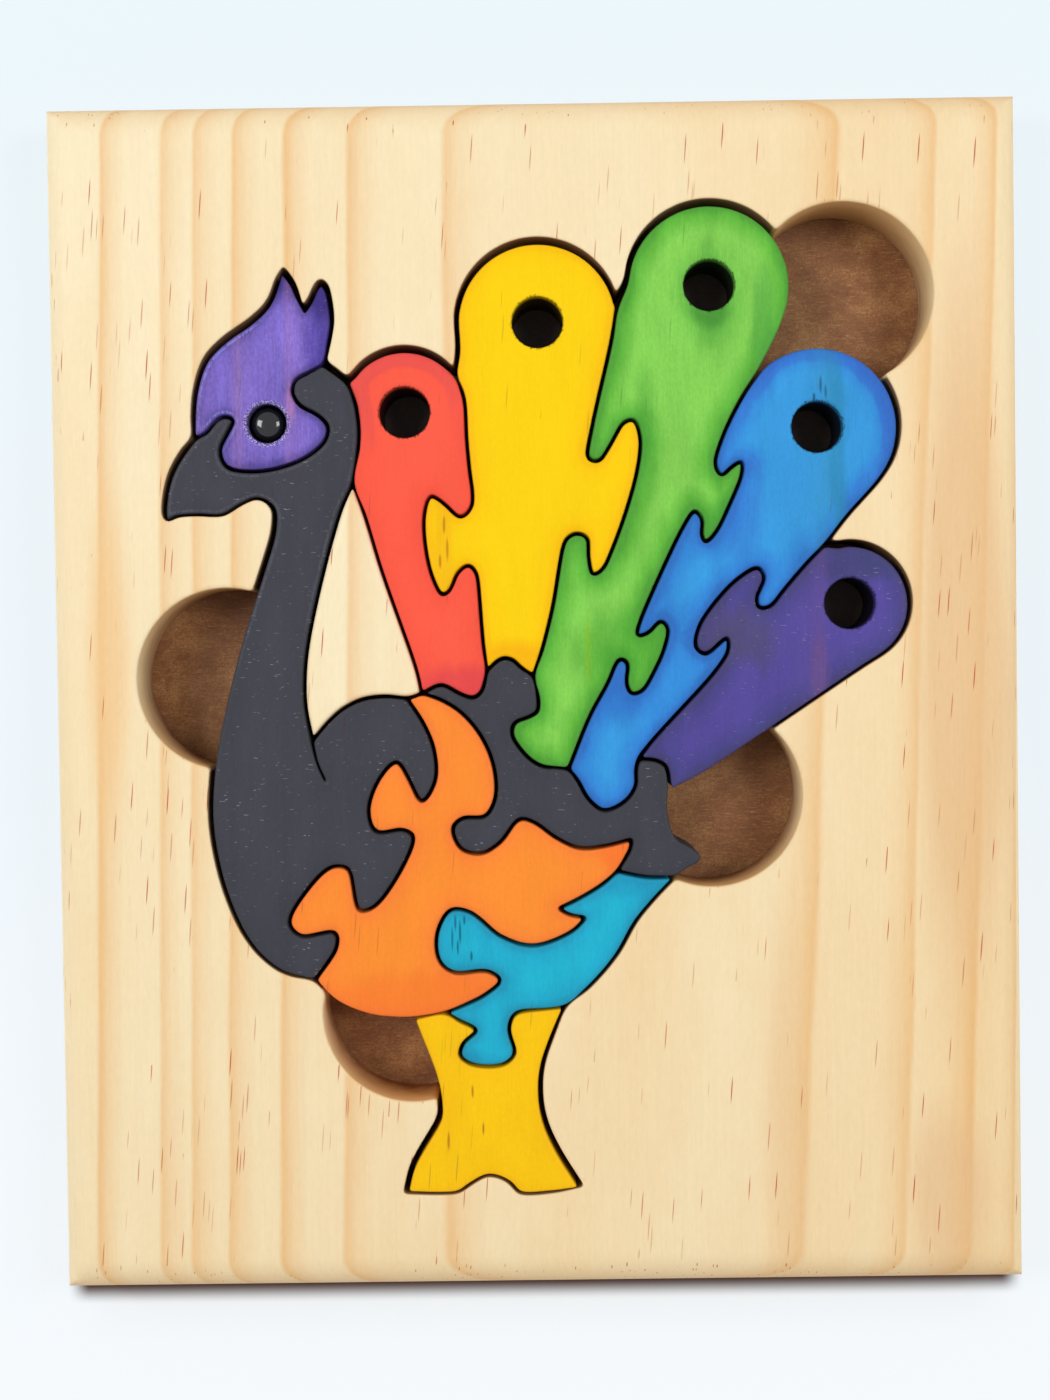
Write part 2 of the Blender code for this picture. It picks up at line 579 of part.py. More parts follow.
def make_puzzle():
    for thing in list(bpy.data.objects):
        bpy.data.objects.remove(thing)
    edge_set = edge_lines()
    heights = [y for line in edge_set.values() for _, y in line]
    scale = FIGURE_HEIGHT / (max(heights) - min(heights))
    lines = {name: thinned(scaled(line, scale)) for name, line in {**inner_lines(), **edge_set}.items()}

    figure, gaps = saw_line_loop(" ".join(edge_set), lines)
    opening = moved_loop(figure, [-gap for gap in gaps])
    opening = with_notches(opening, scaled(NOTCH_CENTRES, scale), NOTCH_DIAMETER / 2)
    half_width = max(abs(x) for x, _ in opening) + SIDE_RIM + BEVEL_WIDTH
    half_height = max(abs(y) for _, y in opening) + END_RIM + BEVEL_WIDTH
    print("board", 2 * half_width, "by", 2 * half_height, "by", FACE)

    make_board(opening, half_width, half_height)
    make_backing(half_width, half_height)
    make_island(lines)
    pieces = {name: make_piece(name, lines, scale) for name in PIECES}
    make_eye(pieces["piece_head"], *scaled([EYE], scale))


make_puzzle()
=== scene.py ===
# %% [markdown]
# # A wooden bird puzzle in its tray
# The real object is a pine board, 235 by 288 mm, with a picture of a peacock sawn out of its middle and a
# thin hardboard sheet glued underneath. The picture is cut into eleven stained pieces that lift straight
# out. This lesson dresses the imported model: every flat-topped solid gets sanded edges and wood from one and
# the same plank, so the growth rings run on from the frame into the pieces, as they do on the real one.

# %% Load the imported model
import math
from functools import partial

import bmesh
import bpy
import numpy
from mathutils import Matrix, Vector
from mathutils.geometry import delaunay_2d_cdt
from mathutils.kdtree import KDTree


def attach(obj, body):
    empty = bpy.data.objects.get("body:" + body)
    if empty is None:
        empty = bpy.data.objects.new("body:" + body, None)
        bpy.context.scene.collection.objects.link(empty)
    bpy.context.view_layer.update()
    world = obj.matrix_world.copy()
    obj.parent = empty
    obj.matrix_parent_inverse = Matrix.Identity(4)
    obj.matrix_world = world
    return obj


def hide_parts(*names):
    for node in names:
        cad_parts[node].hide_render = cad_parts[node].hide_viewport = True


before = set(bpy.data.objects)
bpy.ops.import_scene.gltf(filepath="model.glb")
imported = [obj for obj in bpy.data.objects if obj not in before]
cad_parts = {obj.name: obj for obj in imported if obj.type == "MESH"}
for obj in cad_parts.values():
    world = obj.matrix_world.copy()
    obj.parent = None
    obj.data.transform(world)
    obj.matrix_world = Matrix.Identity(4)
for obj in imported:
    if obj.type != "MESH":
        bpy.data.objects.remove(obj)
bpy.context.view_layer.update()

MM = 0.001
print("nodes:", ", ".join(sorted(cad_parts)))

# %% [markdown]
# ## The camera
# The photograph looks straight down on the face, from a good one and a half times the board's height away, and
# a little off square. A camera can be aimed by eye, but here its place was worked out from the board's four
# corners, so the outline lands where the photograph has it. The long side of the picture takes the whole 36 mm
# of the sensor.

# %% Helper: a new object
def placed(name, data):
    """A new object in the scene."""
    thing = bpy.data.objects.new(name, data)
    bpy.context.scene.collection.objects.link(thing)
    return thing


# %% Camera
BOARD_THICKNESS = 19.0
BACKING_THICKNESS = 3.2
SEAT = 0.3
BOARD_BOTTOM = BACKING_THICKNESS + SEAT
FACE = BOARD_BOTTOM + BOARD_THICKNESS
CAMERA_PLACE = Vector((-0.2, 11.1, 471.0 + FACE))
CAMERA_TILT = Vector((-1.44, 0.32, -0.79))  # degrees about each axis

lens = bpy.data.cameras.new("camera")
lens.lens = 50.0
lens.sensor_width = 36.0
lens.clip_start = 0.01
lens.clip_end = 20.0
camera = placed("camera", lens)
bpy.context.scene.camera = camera

place = Matrix.Translation(CAMERA_PLACE * MM)
camera.matrix_world = place @ Matrix.Rotation(math.radians(CAMERA_TILT.length), 4, CAMERA_TILT)
print("camera", [round(value, 4) for value in camera.location])

# %% [markdown]
# ## A shorthand for node trees
# Node trees are usually drawn by hand. In a script each node is added and wired one by one, which soon gets
# long, so a short helper does both at once: it adds a node to the tree in work, fills or wires its inputs in
# turn and hands back one of its outputs. The same helper serves for materials and for Geometry Nodes.

# %% Helpers: one node
def work_on(tree):
    """Says which node tree the helpers add to from here on."""
    global canvas
    canvas = tree


def new_node(kind, **settings):
    """A new node with its settings."""
    node = canvas.nodes.new(kind)
    node.location = (len(canvas.nodes) // 5 * 200, -(len(canvas.nodes) % 5) * 220)
    for name, value in settings.items():
        setattr(node, name, value)
    return node


def wire(value, socket):
    """Wires an output to an input, or sets a plain value there; None leaves the input alone."""
    if isinstance(value, bpy.types.NodeSocket):
        canvas.links.new(value, socket)
    elif value is not None:
        socket.default_value = value


def add(kind, *inputs, output=0, **settings):
    """Adds a node, sets or wires its inputs in turn and returns one of its outputs."""
    node = new_node(kind, **settings)
    assert len(inputs) <= len(node.inputs), kind
    for value, socket in zip(inputs, node.inputs):
        wire(value, socket)
    return node.outputs[output]


# %% Helpers: sums, ramps and mixes
def sums(operation, *values, clamp=False):
    """One step of arithmetic."""
    return add("ShaderNodeMath", *values, operation=operation, use_clamp=clamp)


times, times_plus = partial(sums, "MULTIPLY"), partial(sums, "MULTIPLY_ADD")
plus, minus = partial(sums, "ADD"), partial(sums, "SUBTRACT")


def spread(value, *limits, smooth=False):
    """Takes the values between the first two limits to those between the last two, or else to 0 to 1."""
    kind = "SMOOTHSTEP" if smooth else "LINEAR"
    return add("ShaderNodeMapRange", value, *limits, interpolation_type=kind)


def part_of(vector, axis):
    """One of the three parts of a vector."""
    return add("ShaderNodeSeparateXYZ", vector, output=axis)


def parts_of(vector):
    """All three parts of a vector."""
    return [part_of(vector, axis) for axis in range(3)]


def ramp(value, *stops):
    """A colour or grey ramp: each stop is a place from 0 to 1 and a grey value or a colour."""
    node = new_node("ShaderNodeValToRGB")
    while len(node.color_ramp.elements) < len(stops):
        node.color_ramp.elements.new(0.5)
    for element, (spot, shade) in zip(node.color_ramp.elements, stops):
        element.position = spot
        element.color = shade if isinstance(shade, tuple) else (shade, shade, shade, 1.0)
    wire(value, node.inputs[0])
    return node.outputs[0]


def blend(share, first, second, mode="MIX"):
    """Two colours mixed by a share from 0 to 1."""
    node = new_node("ShaderNodeMix", data_type="RGBA", blend_type=mode)
    for value, slot in ((share, 0), (first, 6), (second, 7)):
        wire(value, node.inputs[slot])
    return node.outputs[2]


# %% Helpers: a material
def new_material(name):
    """An empty node material to work on: returns it and its main shader."""
    material = bpy.data.materials.new(name)
    material.use_nodes = True
    work_on(material.node_tree)
    return material, canvas.nodes["Principled BSDF"]


def paint(shader, colour, rough):
    """Gives the shader its colour and its roughness."""
    wire(colour, shader.inputs["Base Color"])
    wire(rough, shader.inputs["Roughness"])


def raise_surface(shader, relief, strength, height):
    """Bumps the surface by a pattern; the height is in millimetres."""
    bump = new_node("ShaderNodeBump")
    for name, value in (("Strength", strength), ("Distance", height * MM), ("Height", relief)):
        wire(value, bump.inputs[name])
    wire(bump.outputs[0], shader.inputs["Normal"])


# %% [markdown]
# ## Light, floor and background
# Product pictures like this one are lit by two large soft lamps, left and right of the camera and a little
# towards the top. Together with an even pale surrounding they light a white card to just about white, so a
# colour that is typed into a finish comes out as it was typed. The floor is a pale sheet. Seen directly it is
# mostly its own pale colour, and near the board's lower edge it keeps more of the real shadow, with a thin
# painted shadow line where the two meet.

# %% Colours as they look on the screen
def linear(*screen_colour):
    """The colour that Blender needs for a colour as seen on the screen, 0 to 255."""
    parts = [value / 255 for value in screen_colour]
    return (*(v / 12.92 if v <= 0.04045 else ((v + 0.055) / 1.055) ** 2.4 for v in parts), 1.0)


# %% Helper: what is seen, not lit by
def seen_directly():
    """1 for the camera's own view and for what shines or is clear, 0 for the light that falls on things."""
    path = new_node("ShaderNodeLightPath")
    seen = sums("MAXIMUM", path.outputs["Is Camera Ray"], path.outputs["Is Glossy Ray"])
    return sums("MAXIMUM", seen, path.outputs["Is Transmission Ray"])


# %% Lamps and surrounding
OVERHEAD = 0.15
AROUND = 0.85
LAMP_SIZE = 0.4
LAMPS = (("left lamp", (-0.75, 0.25, 1.05), 7.6), ("right lamp", (0.75, 0.21, 1.07), 7.1))

world = bpy.data.worlds.new("studio")
bpy.context.scene.world = world
world.use_nodes = True
work_on(world.node_tree)
room = canvas.nodes["Background"]
room.inputs["Color"].default_value = linear(250, 252, 255)
steepness = part_of(add("ShaderNodeTexCoord"), 2)
fill = spread(steepness, 0.15, 0.85, AROUND, OVERHEAD, smooth=True)
seen = seen_directly()
shown = plus(times(minus(1.0, seen), fill), seen)
wire(shown, room.inputs["Strength"])

for name, spot, power in LAMPS:
    light = bpy.data.lights.new(name, "AREA")
    light.shape = "RECTANGLE"
    light.size = LAMP_SIZE
    light.size_y = LAMP_SIZE * 1.3
    light.energy = power
    lamp = placed(name, light)
    lamp.location = spot
    lamp.rotation_euler = (-Vector(spot)).to_track_quat("-Z", "Y").to_euler()

bpy.context.scene.view_settings.view_transform = "Standard"


# %% Floor finish
FLOOR_DROP = 0.25
FLOOR_REACH = 6.0
PALE_REACH = 0.19
SHADE_OUTSIDE, SHADE_INSIDE = -0.165, -0.135
SHADOW_LINE_OUTSIDE, SHADOW_LINE_INSIDE, LOWER_EDGE = -0.1550, -0.1496, -0.1435
SHADE_SIDES, SHADOW_LINE_SIDES = (0.108, 0.122), (0.1165, 0.1225)

floor_finish, shader = new_material("pale floor with painted shadow line")
spot = add("ShaderNodeTexCoord", output=3)
upward = part_of(spot, 1)
shades = (0.0, linear(247, 251, 254)), (0.5, linear(239, 247, 253)), (1.0, linear(236, 247, 251))
pale = ramp(spread(upward, -PALE_REACH, PALE_REACH), *shades)
across = sums("ABSOLUTE", part_of(spot, 0))
below = ramp(spread(upward, SHADE_OUTSIDE, SHADE_INSIDE), (0.0, 0.0), (0.45, 0.8), (0.72, 1.0), (1.0, 0.0))
beside = spread(across, *SHADE_SIDES, 1.0, 0.0, smooth=True)
near = times(below, beside)
near_edge = times_plus(near, 0.82, 0.15)
# Painted shadow: a thin dark line on the floor along the board's lower edge.
line = spread(upward, SHADOW_LINE_OUTSIDE, SHADOW_LINE_INSIDE, smooth=True)
line = times(line, sums("LESS_THAN", upward, LOWER_EDGE))
shadow_line_to_corner = spread(across, *SHADOW_LINE_SIDES, 1.0, 0.0, smooth=True)
pale = blend(times(line, shadow_line_to_corner), pale, linear(72, 40, 26))
paint(shader, pale, 0.7)
glow = add("ShaderNodeEmission", pale, 1.0)
direct = times(seen_directly(), minus(1.0, near_edge))
mixed = add("ShaderNodeMixShader", direct, shader.outputs[0], glow)
wire(mixed, canvas.nodes["Material Output"].inputs["Surface"])

# %% Floor
floor_mesh = bpy.data.meshes.new("floor")
corners = [(x * FLOOR_REACH, y * FLOOR_REACH, 0) for x, y in ((-1, -1), (1, -1), (1, 1), (-1, 1))]
floor_mesh.from_pydata(corners, [], [(0, 1, 2, 3)])
floor_mesh.transform(Matrix.Translation((0, 0, -FLOOR_DROP * MM)))
floor_mesh.materials.append(floor_finish)
floor = placed("floor", floor_mesh)

# %% [markdown]
# ## The outlines
# Each piece is a slab with straight sides, so its flat underside holds its whole outline. The outline is read
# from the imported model's own mesh: the faces that look straight down are taken, and the edges that only one of
# them uses are strung into loops. The longest loop is the outside and any other is a hole.

# %% Helper: loops round a node's underside
def underside_loops(node):
    """The outlines of a node's flat underside in millimetres, the outside first."""
    mesh = bmesh.new()
    mesh.from_mesh(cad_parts[node].data)
    bmesh.ops.remove_doubles(mesh, verts=mesh.verts[:], dist=1e-6)
    mesh.normal_update()
    lowest = min(corner.co.z for corner in mesh.verts)
    for face in mesh.faces:
        face.tag = face.normal.z < -0.99 and max(corner.co.z for corner in face.verts) < lowest + 1e-5
    following = {}
    for face in mesh.faces:
        for side in face.loops if face.tag else ():
            if sum(other.tag for other in side.edge.link_faces) == 1:
                following[side.vert] = side.link_loop_next.vert
    loops = []
    while following:
        start, corner = following.popitem()
        loop = [start]
        while corner in following:
            loop.append(corner)
            corner = following.pop(corner)
        loops.append([(c.co.x / MM, c.co.y / MM) for c in reversed(loop)])
    mesh.free()
    return sorted(loops, key=lambda loop: -sum(math.dist(a, b) for a, b in zip(loop, loop[1:] + loop[:1])))


print("outlines of the board:", [len(loop) for loop in underside_loops("frame_board")])

# %% [markdown]
# ## Smoother curves
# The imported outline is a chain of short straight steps. A spline through the same points (a centripetal
# Catmull-Rom curve, which doesn't overshoot) gives a fine even chain. Sharp tips must stay tips, so the curve is
# cut where the line turns hard, and a last light averaging takes the razor edge off them, as sandpaper does.

# %% Helpers: turns and curves
SHARP_TURN = 50.0


def turn_at(before, corner, after):
    """How far a chain of points turns at one of them, in degrees."""
    first = Vector(corner) - Vector(before)
    second = Vector(after) - Vector(corner)
    return math.degrees(first.angle(second, 0.0))


def spline_step(before, start, end, after, count):
    """Points from start up to, not including, end, on a curve that also looks at its two neighbours."""
    first, last = Vector(start), Vector(end)
    middle = (last - first).length ** 0.5
    leave = arrive = last - first
    if before is not None:
        before = Vector(before)
        gap = (first - before).length ** 0.5
        leave = (last - first) + middle * ((first - before) / gap - (last - before) / (gap + middle))
    if after is not None:
        after = Vector(after)
        gap = (after - last).length ** 0.5
        arrive = (last - first) + middle * ((after - last) / gap - (after - first) / (middle + gap))
    points = []
    for step in range(count):
        t = step / count
        points.append(
            (2 * t**3 - 3 * t**2 + 1) * first + (t**3 - 2 * t**2 + t) * leave
            + (3 * t**2 - 2 * t**3) * last + (t**3 - t**2) * arrive
        )
    return points


# %% Helper: an even, smooth loop
def smooth_loop(loop, spacing, easing=2):
    """The loop with points about one spacing apart, on smooth curves between its sharp corners."""
    count = len(loop)
    sharp = [turn_at(loop[i - 1], loop[i], loop[(i + 1) % count]) > SHARP_TURN for i in range(count)]
    points = []
    for i in range(count):
        j = (i + 1) % count
        before = None if sharp[i] else loop[i - 1]
        after = None if sharp[j] else loop[(j + 1) % count]
        steps = max(1, round(math.dist(loop[i], loop[j]) / spacing))
        points += spline_step(before, loop[i], loop[j], after, steps)
    for _ in range(easing):
        shifted = points[-1:] + points[:-1], points, points[1:] + points[:1]
        points = [(a + 2 * b + c) / 4 for a, b, c in zip(*shifted)]
    return points


# %% [markdown]
# ## A flat sheet of small triangles
# A round edge needs rows of points that follow the outline: very close together where the edge curves hard,
# wider apart further in. The rows are laid by stepping inwards from the outline, and a point is kept only where
# nothing else of the outline is nearer. A coarse grid fills the middle. Blender's constrained triangulation joins
# all of them, and the triangles that fall outside the outline or in a hole are dropped.

# %% Helper: which points lie inside
def inside(points, loops):
    """For each point, whether it lies inside the outline and outside its holes."""
    spots = numpy.array([(p[0], p[1]) for p in points])
    crossings = numpy.zeros(len(spots), int)
    for loop in loops:
        for (x0, y0), (x1, y1) in zip(loop, loop[1:] + loop[:1]):
            if y0 != y1:
                level = (spots[:, 1] > min(y0, y1)) & (spots[:, 1] <= max(y0, y1))
                crossings += level & (spots[:, 0] < x0 + (spots[:, 1] - y0) * (x1 - x0) / (y1 - y0))
    return crossings % 2 == 1


# %% Helpers: the sheet's points
def finder(points):
    """A search tree that finds the nearest of these points."""
    found = KDTree(len(points))
    for index, point in enumerate(points):
        found.insert((*point, 0), index)
    found.balance()
    return found


def laid_points(loops, rows, grid):
    """The loops' own points, rows of points at these depths along every edge, and a grid between them."""
    border = [point for loop in loops for point in loop]
    nearest = finder(border)
    points = list(border)
    for loop in loops:
        for depth in rows:
            step = 1 if depth < 0.6 else 2 if depth < 2 else 3
            for i in range(0, len(loop) - step // 2, step):
                along = loop[(i + 1) % len(loop)] - loop[i - 1]
                spot = loop[i] + Vector((-along.y, along.x)).normalized() * depth
                if nearest.find((*spot, 0))[2] > depth * 0.97:
                    points.append(spot)
    low = [min(p[axis] for p in border) for axis in (0, 1)]
    high = [max(p[axis] for p in border) for axis in (0, 1)]
    filling = []
    for row in range(int((high[1] - low[1]) / grid) + 1):
        for column in range(int((high[0] - low[0]) / grid) + 1):
            spot = Vector((low[0] + (column + 0.5 * (row % 2)) * grid, low[1] + (row + 0.5) * grid))
            if nearest.find((*spot, 0))[2] > rows[-1] + 0.6 * grid:
                filling.append(spot)
    if filling:
        points += [spot for spot, kept in zip(filling, inside(filling, loops)) if kept]
    return points


# %% Helper: the sheet
THINNEST = 1e-4


def flat_sheet(name, loops, rows, grid, softness=None):
    """A flat mesh inside the loops; rows and grid say in millimetres where its points lie."""
    points = laid_points(loops, rows, grid)
    edges, start = [], 0
    for loop in loops:
        edges += [(start + i, start + (i + 1) % len(loop)) for i in range(len(loop))]
        start += len(loop)
    corners, _, triangles = delaunay_2d_cdt(points, edges, [], 0, 1e-6)[:3]
    middles = [(corners[a] + corners[b] + corners[c]) / 3 for a, b, c in triangles]
    kept = []
    for (a, b, c), fits in zip(triangles, inside(middles, loops)):
        area = (corners[b] - corners[a]).cross(corners[c] - corners[a]) / 2
        if fits and abs(area) > THINNEST:
            kept.append((a, b, c) if area > 0 else (a, c, b))
    mesh = bmesh.new()
    made = [mesh.verts.new((corner.x * MM, corner.y * MM, 0)) for corner in corners]
    for triangle in kept:
        mesh.faces.new([made[i] for i in triangle])
    bmesh.ops.delete(mesh, geom=[v for v in mesh.verts if not v.link_faces], context="VERTS")
    holes = finder(points[len(loops[0]):start]) if len(loops) > 1 else None
    hole_mark = mesh.verts.layers.float.new("at_hole")
    soft = mesh.verts.layers.float.new("softness")
    for corner in mesh.verts:
        spot = corner.co / MM
        corner[hole_mark] = 1.0 if holes and holes.find(spot)[2] < 1e-3 else 0.0
        corner[soft] = softness(spot) if softness else 1.0
    sheet = bpy.data.meshes.new(name)
    mesh.to_mesh(sheet)
    mesh.free()
    return sheet


# %% [markdown]
# ## Geometry Nodes: from a sheet to a slab with sanded edges
# Every wooden part here follows one rule: a flat sheet of some thickness whose edges are rounded over. A Bevel
# modifier would fail at the saw line's tight tips, so the rounding is worked out for each point instead. The
# tree measures how far the point is from the nearest edge (Geometry Proximity) and lowers it along an ellipse.
# The underside gets a smaller rounding, the rim is extruded for the walls, and all three are merged. The two
# distances stay in the mesh as attributes, so a stain can be darker along an edge.

# %% Sizes of a slab and its rounding
SLAB_SIZES = (
    ("Top", "how high the flat face lies"), ("Bottom", "how high the underside lies"),
    ("Edge Width", "how far in the outside edge is rounded"), ("Edge Drop", "how far down it is rounded"),
    ("Hole Width", "how far in a hole's edge is rounded"), ("Hole Drop", "how far down it is rounded"),
    ("Underside Rounding", "radius along the underside"),
    ("Crown Width", "how far in the face still curves"), ("Crown Drop", "how much it falls to its edge"),
)


def rounding(distance, width, drop):
    """How far a point at this distance from an edge is lowered by a rounding of this width and depth."""
    share = sums("DIVIDE", distance, width, clamp=True)
    left = minus(1.0, share)
    height = sums("SQRT", minus(1.0, times(left, left), clamp=True))
    return times(drop, minus(1.0, height))


# %% Helpers: numbers kept in the mesh
def stored(name):
    """A number that the mesh keeps for each point."""
    return add("GeometryNodeInputNamedAttribute", name, data_type="FLOAT")


def store(sheet, name, value):
    """Keeps a number in the mesh for each point."""
    kind = {"data_type": "FLOAT", "domain": "POINT"}
    return add("GeometryNodeStoreNamedAttribute", sheet, None, name, value, **kind)


def at_height(sheet, height):
    """The sheet with each point lifted to a height."""
    return add("GeometryNodeSetPosition", sheet, None, None, add("ShaderNodeCombineXYZ", 0.0, 0.0, height))


# %% Helpers: steps of the slab's tree
def edge_distances(sheet, at_rim):
    """How far each point is from the outside edge and how far from the nearest hole's edge."""
    at_hole = sums("GREATER_THAN", stored("at_hole"), 0.75)
    outer = add("FunctionNodeBooleanMath", at_rim, at_hole, operation="NIMPLY")
    holes = add("FunctionNodeBooleanMath", at_rim, at_hole, operation="AND")
    distances = []
    for chosen in (outer, holes):
        line = add("GeometryNodeSeparateGeometry", sheet, chosen, domain="EDGE")
        near = new_node("GeometryNodeProximity", target_element="EDGES")
        wire(line, near.inputs[0])
        found, distance = near.outputs["Is Valid"], near.outputs["Distance"]
        distances.append(add("GeometryNodeSwitch", found, 1.0, distance, input_type="FLOAT"))
    return distances


def slab_heights(given, from_rim, from_hole):
    """How high the top and the underside lie at each point."""
    either = sums("MINIMUM", from_rim, from_hole)
    wider = sums("MAXIMUM", stored("softness"), 1.0)
    deeper = sums("POWER", wider, 0.7)

    def softened(distance, width, drop):
        return rounding(distance, times(width, wider), times(drop, deeper))

    lowered = softened(from_rim, given["Edge Width"], given["Edge Drop"])
    lowered = plus(lowered, softened(from_hole, given["Hole Width"], given["Hole Drop"]))
    lowered = plus(lowered, rounding(either, given["Crown Width"], given["Crown Drop"]))
    raised = rounding(either, given["Underside Rounding"], given["Underside Rounding"])
    return minus(given["Top"], lowered), plus(given["Bottom"], raised)


def walls_below(top, at_rim):
    """The walls from the top's rim down to the underside."""
    line = add("GeometryNodeSeparateGeometry", top, at_rim, domain="EDGE")
    walls = new_node("GeometryNodeExtrudeMesh", mode="EDGES")
    wire(line, walls.inputs["Mesh"])
    wire(add("ShaderNodeCombineXYZ", 0.0, 0.0, -1.0), walls.inputs["Offset"])
    walls.inputs["Offset Scale"].default_value = MM
    here = add("GeometryNodeInputPosition")
    foot = add("ShaderNodeCombineXYZ", part_of(here, 0), part_of(here, 1), stored("low"))
    return add("GeometryNodeSetPosition", walls.outputs["Mesh"], walls.outputs["Top"], foot)


# %% The rounded slab's tree
def slab_tree():
    """The whole tree: a flat sheet goes in, a closed slab comes out."""
    work_on(bpy.data.node_groups.new("rounded slab", "GeometryNodeTree"))
    socket = canvas.interface.new_socket
    socket("Sheet", in_out="INPUT", socket_type="NodeSocketGeometry")
    for name, what in SLAB_SIZES:
        size = socket(name, in_out="INPUT", socket_type="NodeSocketFloat")
        size.subtype, size.description = "DISTANCE", what
    socket("Finish", in_out="INPUT", socket_type="NodeSocketMaterial")
    socket("Slab", in_out="OUTPUT", socket_type="NodeSocketGeometry")
    given = new_node("NodeGroupInput").outputs
    sheet = given["Sheet"]

    sides = add("GeometryNodeInputMeshEdgeNeighbors")
    at_rim = add("FunctionNodeCompare", None, None, sides, 1, data_type="INT", operation="EQUAL")
    for name, distance in zip(("rim", "hole_rim"), edge_distances(sheet, at_rim)):
        sheet = store(sheet, name, distance)
    top_height, low_height = slab_heights(given, stored("rim"), stored("hole_rim"))
    sheet = store(sheet, "low", low_height)
    top = at_height(sheet, top_height)
    under = add("GeometryNodeFlipFaces", at_height(sheet, low_height))
    walls = walls_below(top, at_rim)

    join = new_node("GeometryNodeJoinGeometry")
    for part in (walls, under, top):
        wire(part, join.inputs[0])
    slab = add("GeometryNodeMergeByDistance", join.outputs[0], None, 0.002 * MM)
    slab = add("GeometryNodeSetShadeSmooth", slab)
    slab = add("GeometryNodeRealizeInstances", slab)
    slab = add("GeometryNodeSetMaterial", slab, None, given["Finish"])
    result = new_node("NodeGroupOutput")
    wire(slab, result.inputs[0])
    return canvas


SLAB = slab_tree()
print("slab tree:", len(SLAB.nodes), "nodes")


# %% Helper: one slab as a plain mesh
def make_slab(name, sheet, finish, **sizes):
    """Runs the slab tree on a flat sheet and returns a plain mesh object; the sizes are in millimetres."""
    thing = placed(name, sheet)
    modifier = thing.modifiers.new("slab", "NODES")
    modifier.node_group = SLAB
    sockets = {item.name: item.identifier for item in SLAB.interface.items_tree if item.item_type == "SOCKET"}
    for label, value in sizes.items():
        modifier[sockets[label.replace("_", " ")]] = value * MM
    modifier[sockets["Finish"]] = finish
    ready = thing.evaluated_get(bpy.context.evaluated_depsgraph_get())
    plain = bpy.data.meshes.new_from_object(ready)
    thing.modifiers.clear()
    shape = bmesh.new()
    shape.from_mesh(plain)
    bmesh.ops.recalc_face_normals(shape, faces=shape.faces[:])
    loose = sum(len(edge.link_faces) != 2 for edge in shape.edges)
    if shape.calc_volume(signed=True) < 0:
        bmesh.ops.reverse_faces(shape, faces=shape.faces[:])
    shape.to_mesh(plain)
    shape.free()
    plain.name = name
    thing.data = plain
    print(f"{name}: {len(plain.polygons)} faces, {loose} loose edges")
    return thing


# %% [markdown]
# ## Pine
# A plank is sawn out of a trunk, so its stripes are slices through rings round a centre line. Here that line
# runs nearly along the board, 37 mm above its face and a little to the right of its middle, and the rings are
# ovals, almost twice as wide as high. The distance of each point from that line, with the height counted 1.8
# times, says which ring it is in. Every ring starts pale and darkens to a narrow, sharp band of late wood.
# Painting that in three dimensions makes the stripes bend on the rounded edges and turn into arcs on the two
# ends by themselves, which no flat pattern would do.

# %% The trunk's rings
RING_EDGES = ((80.6, 0.9), (96.2, 0.85), (107.9, 1.0), (118.2, 0.85), (126.1, 0.8), (132.7, 0.8), (145.9, 0.9))
RING_PROFILE = ((-5.5, 0.0), (-2.4, 0.42), (-0.45, 1.0), (0.35, 0.0))
FLATNESS = 1.8
CENTRE_HEIGHT, CENTRE_ACROSS = 59.3, 23.4
LEAN_HEIGHT, LEAN_ACROSS = -0.0104, 0.0248
FIRST_RADIUS = 66.0
LAST_RADIUS = 158.0


# %% Helpers: places, distances and noise
def millimetres():
    """The place of each point in millimetres."""
    spot = add("ShaderNodeTexCoord", output=3)
    return add("ShaderNodeVectorMath", spot, None, None, 1.0 / MM, operation="SCALE")


def from_edge(kind):
    """The distance to the nearest edge in millimetres; the kind is rim or hole_rim."""
    return sums("DIVIDE", add("ShaderNodeAttribute", attribute_name=kind, output=2), MM)


def noise(place, across, along, detail=2.0, roughness=0.5, seed=0.0):
    """Noise whose blots are so many millimetres wide and long, with the length along the board."""
    sizes = (1.0 / across, 1.0 / along, 1.0 / across)
    scaled = add("ShaderNodeMapping", place, (seed, seed * 0.7, seed * 1.3), None, sizes)
    return add("ShaderNodeTexNoise", scaled, None, 1.0, detail, roughness)


# %% Helper: growth rings
def growth_rings(place):
    """How much late wood each point has, 0 to 1, from its distance to the trunk's centre line."""
    x, y, z = parts_of(place)
    sideways = minus(x, times_plus(y, LEAN_ACROSS, CENTRE_ACROSS))
    upwards = minus(z, times_plus(y, LEAN_HEIGHT / FLATNESS, CENTRE_HEIGHT))
    upwards = times(upwards, FLATNESS)
    radius = sums("SQRT", plus(times(sideways, sideways), times(upwards, upwards)))
    wander = times_plus(noise(place, 50, 180, seed=3.0), 2.0, -1.0)
    ripple = times_plus(noise(place, 7, 40, seed=8.0), 1.0, -0.5)
    radius = plus(radius, plus(wander, ripple))
    share = spread(radius, FIRST_RADIUS, LAST_RADIUS)
    span = LAST_RADIUS - FIRST_RADIUS
    return ramp(share, *(
        ((edge + offset - FIRST_RADIUS) / span, shade * strength)
        for edge, strength in RING_EDGES for offset, shade in RING_PROFILE
    ))


# %% [markdown]
# ## Resin canals and fibres
# Between the rings pine shows short thin brown dashes, which are resin canals cut lengthwise. On the ends the
# same canals are dots. Cells that are over twenty times longer than wide, each with a thin core, give both. Finer
# fibres are a noise drawn out along the board, used for a faint streak and for the height of the surface.

# %% Helper: resin canals
CANAL_SPACING = 0.95
CANAL_LENGTH = 21.0
CANAL_LEAN = math.radians(4.5)
CANAL_EDGE = (0.20, 0.13)


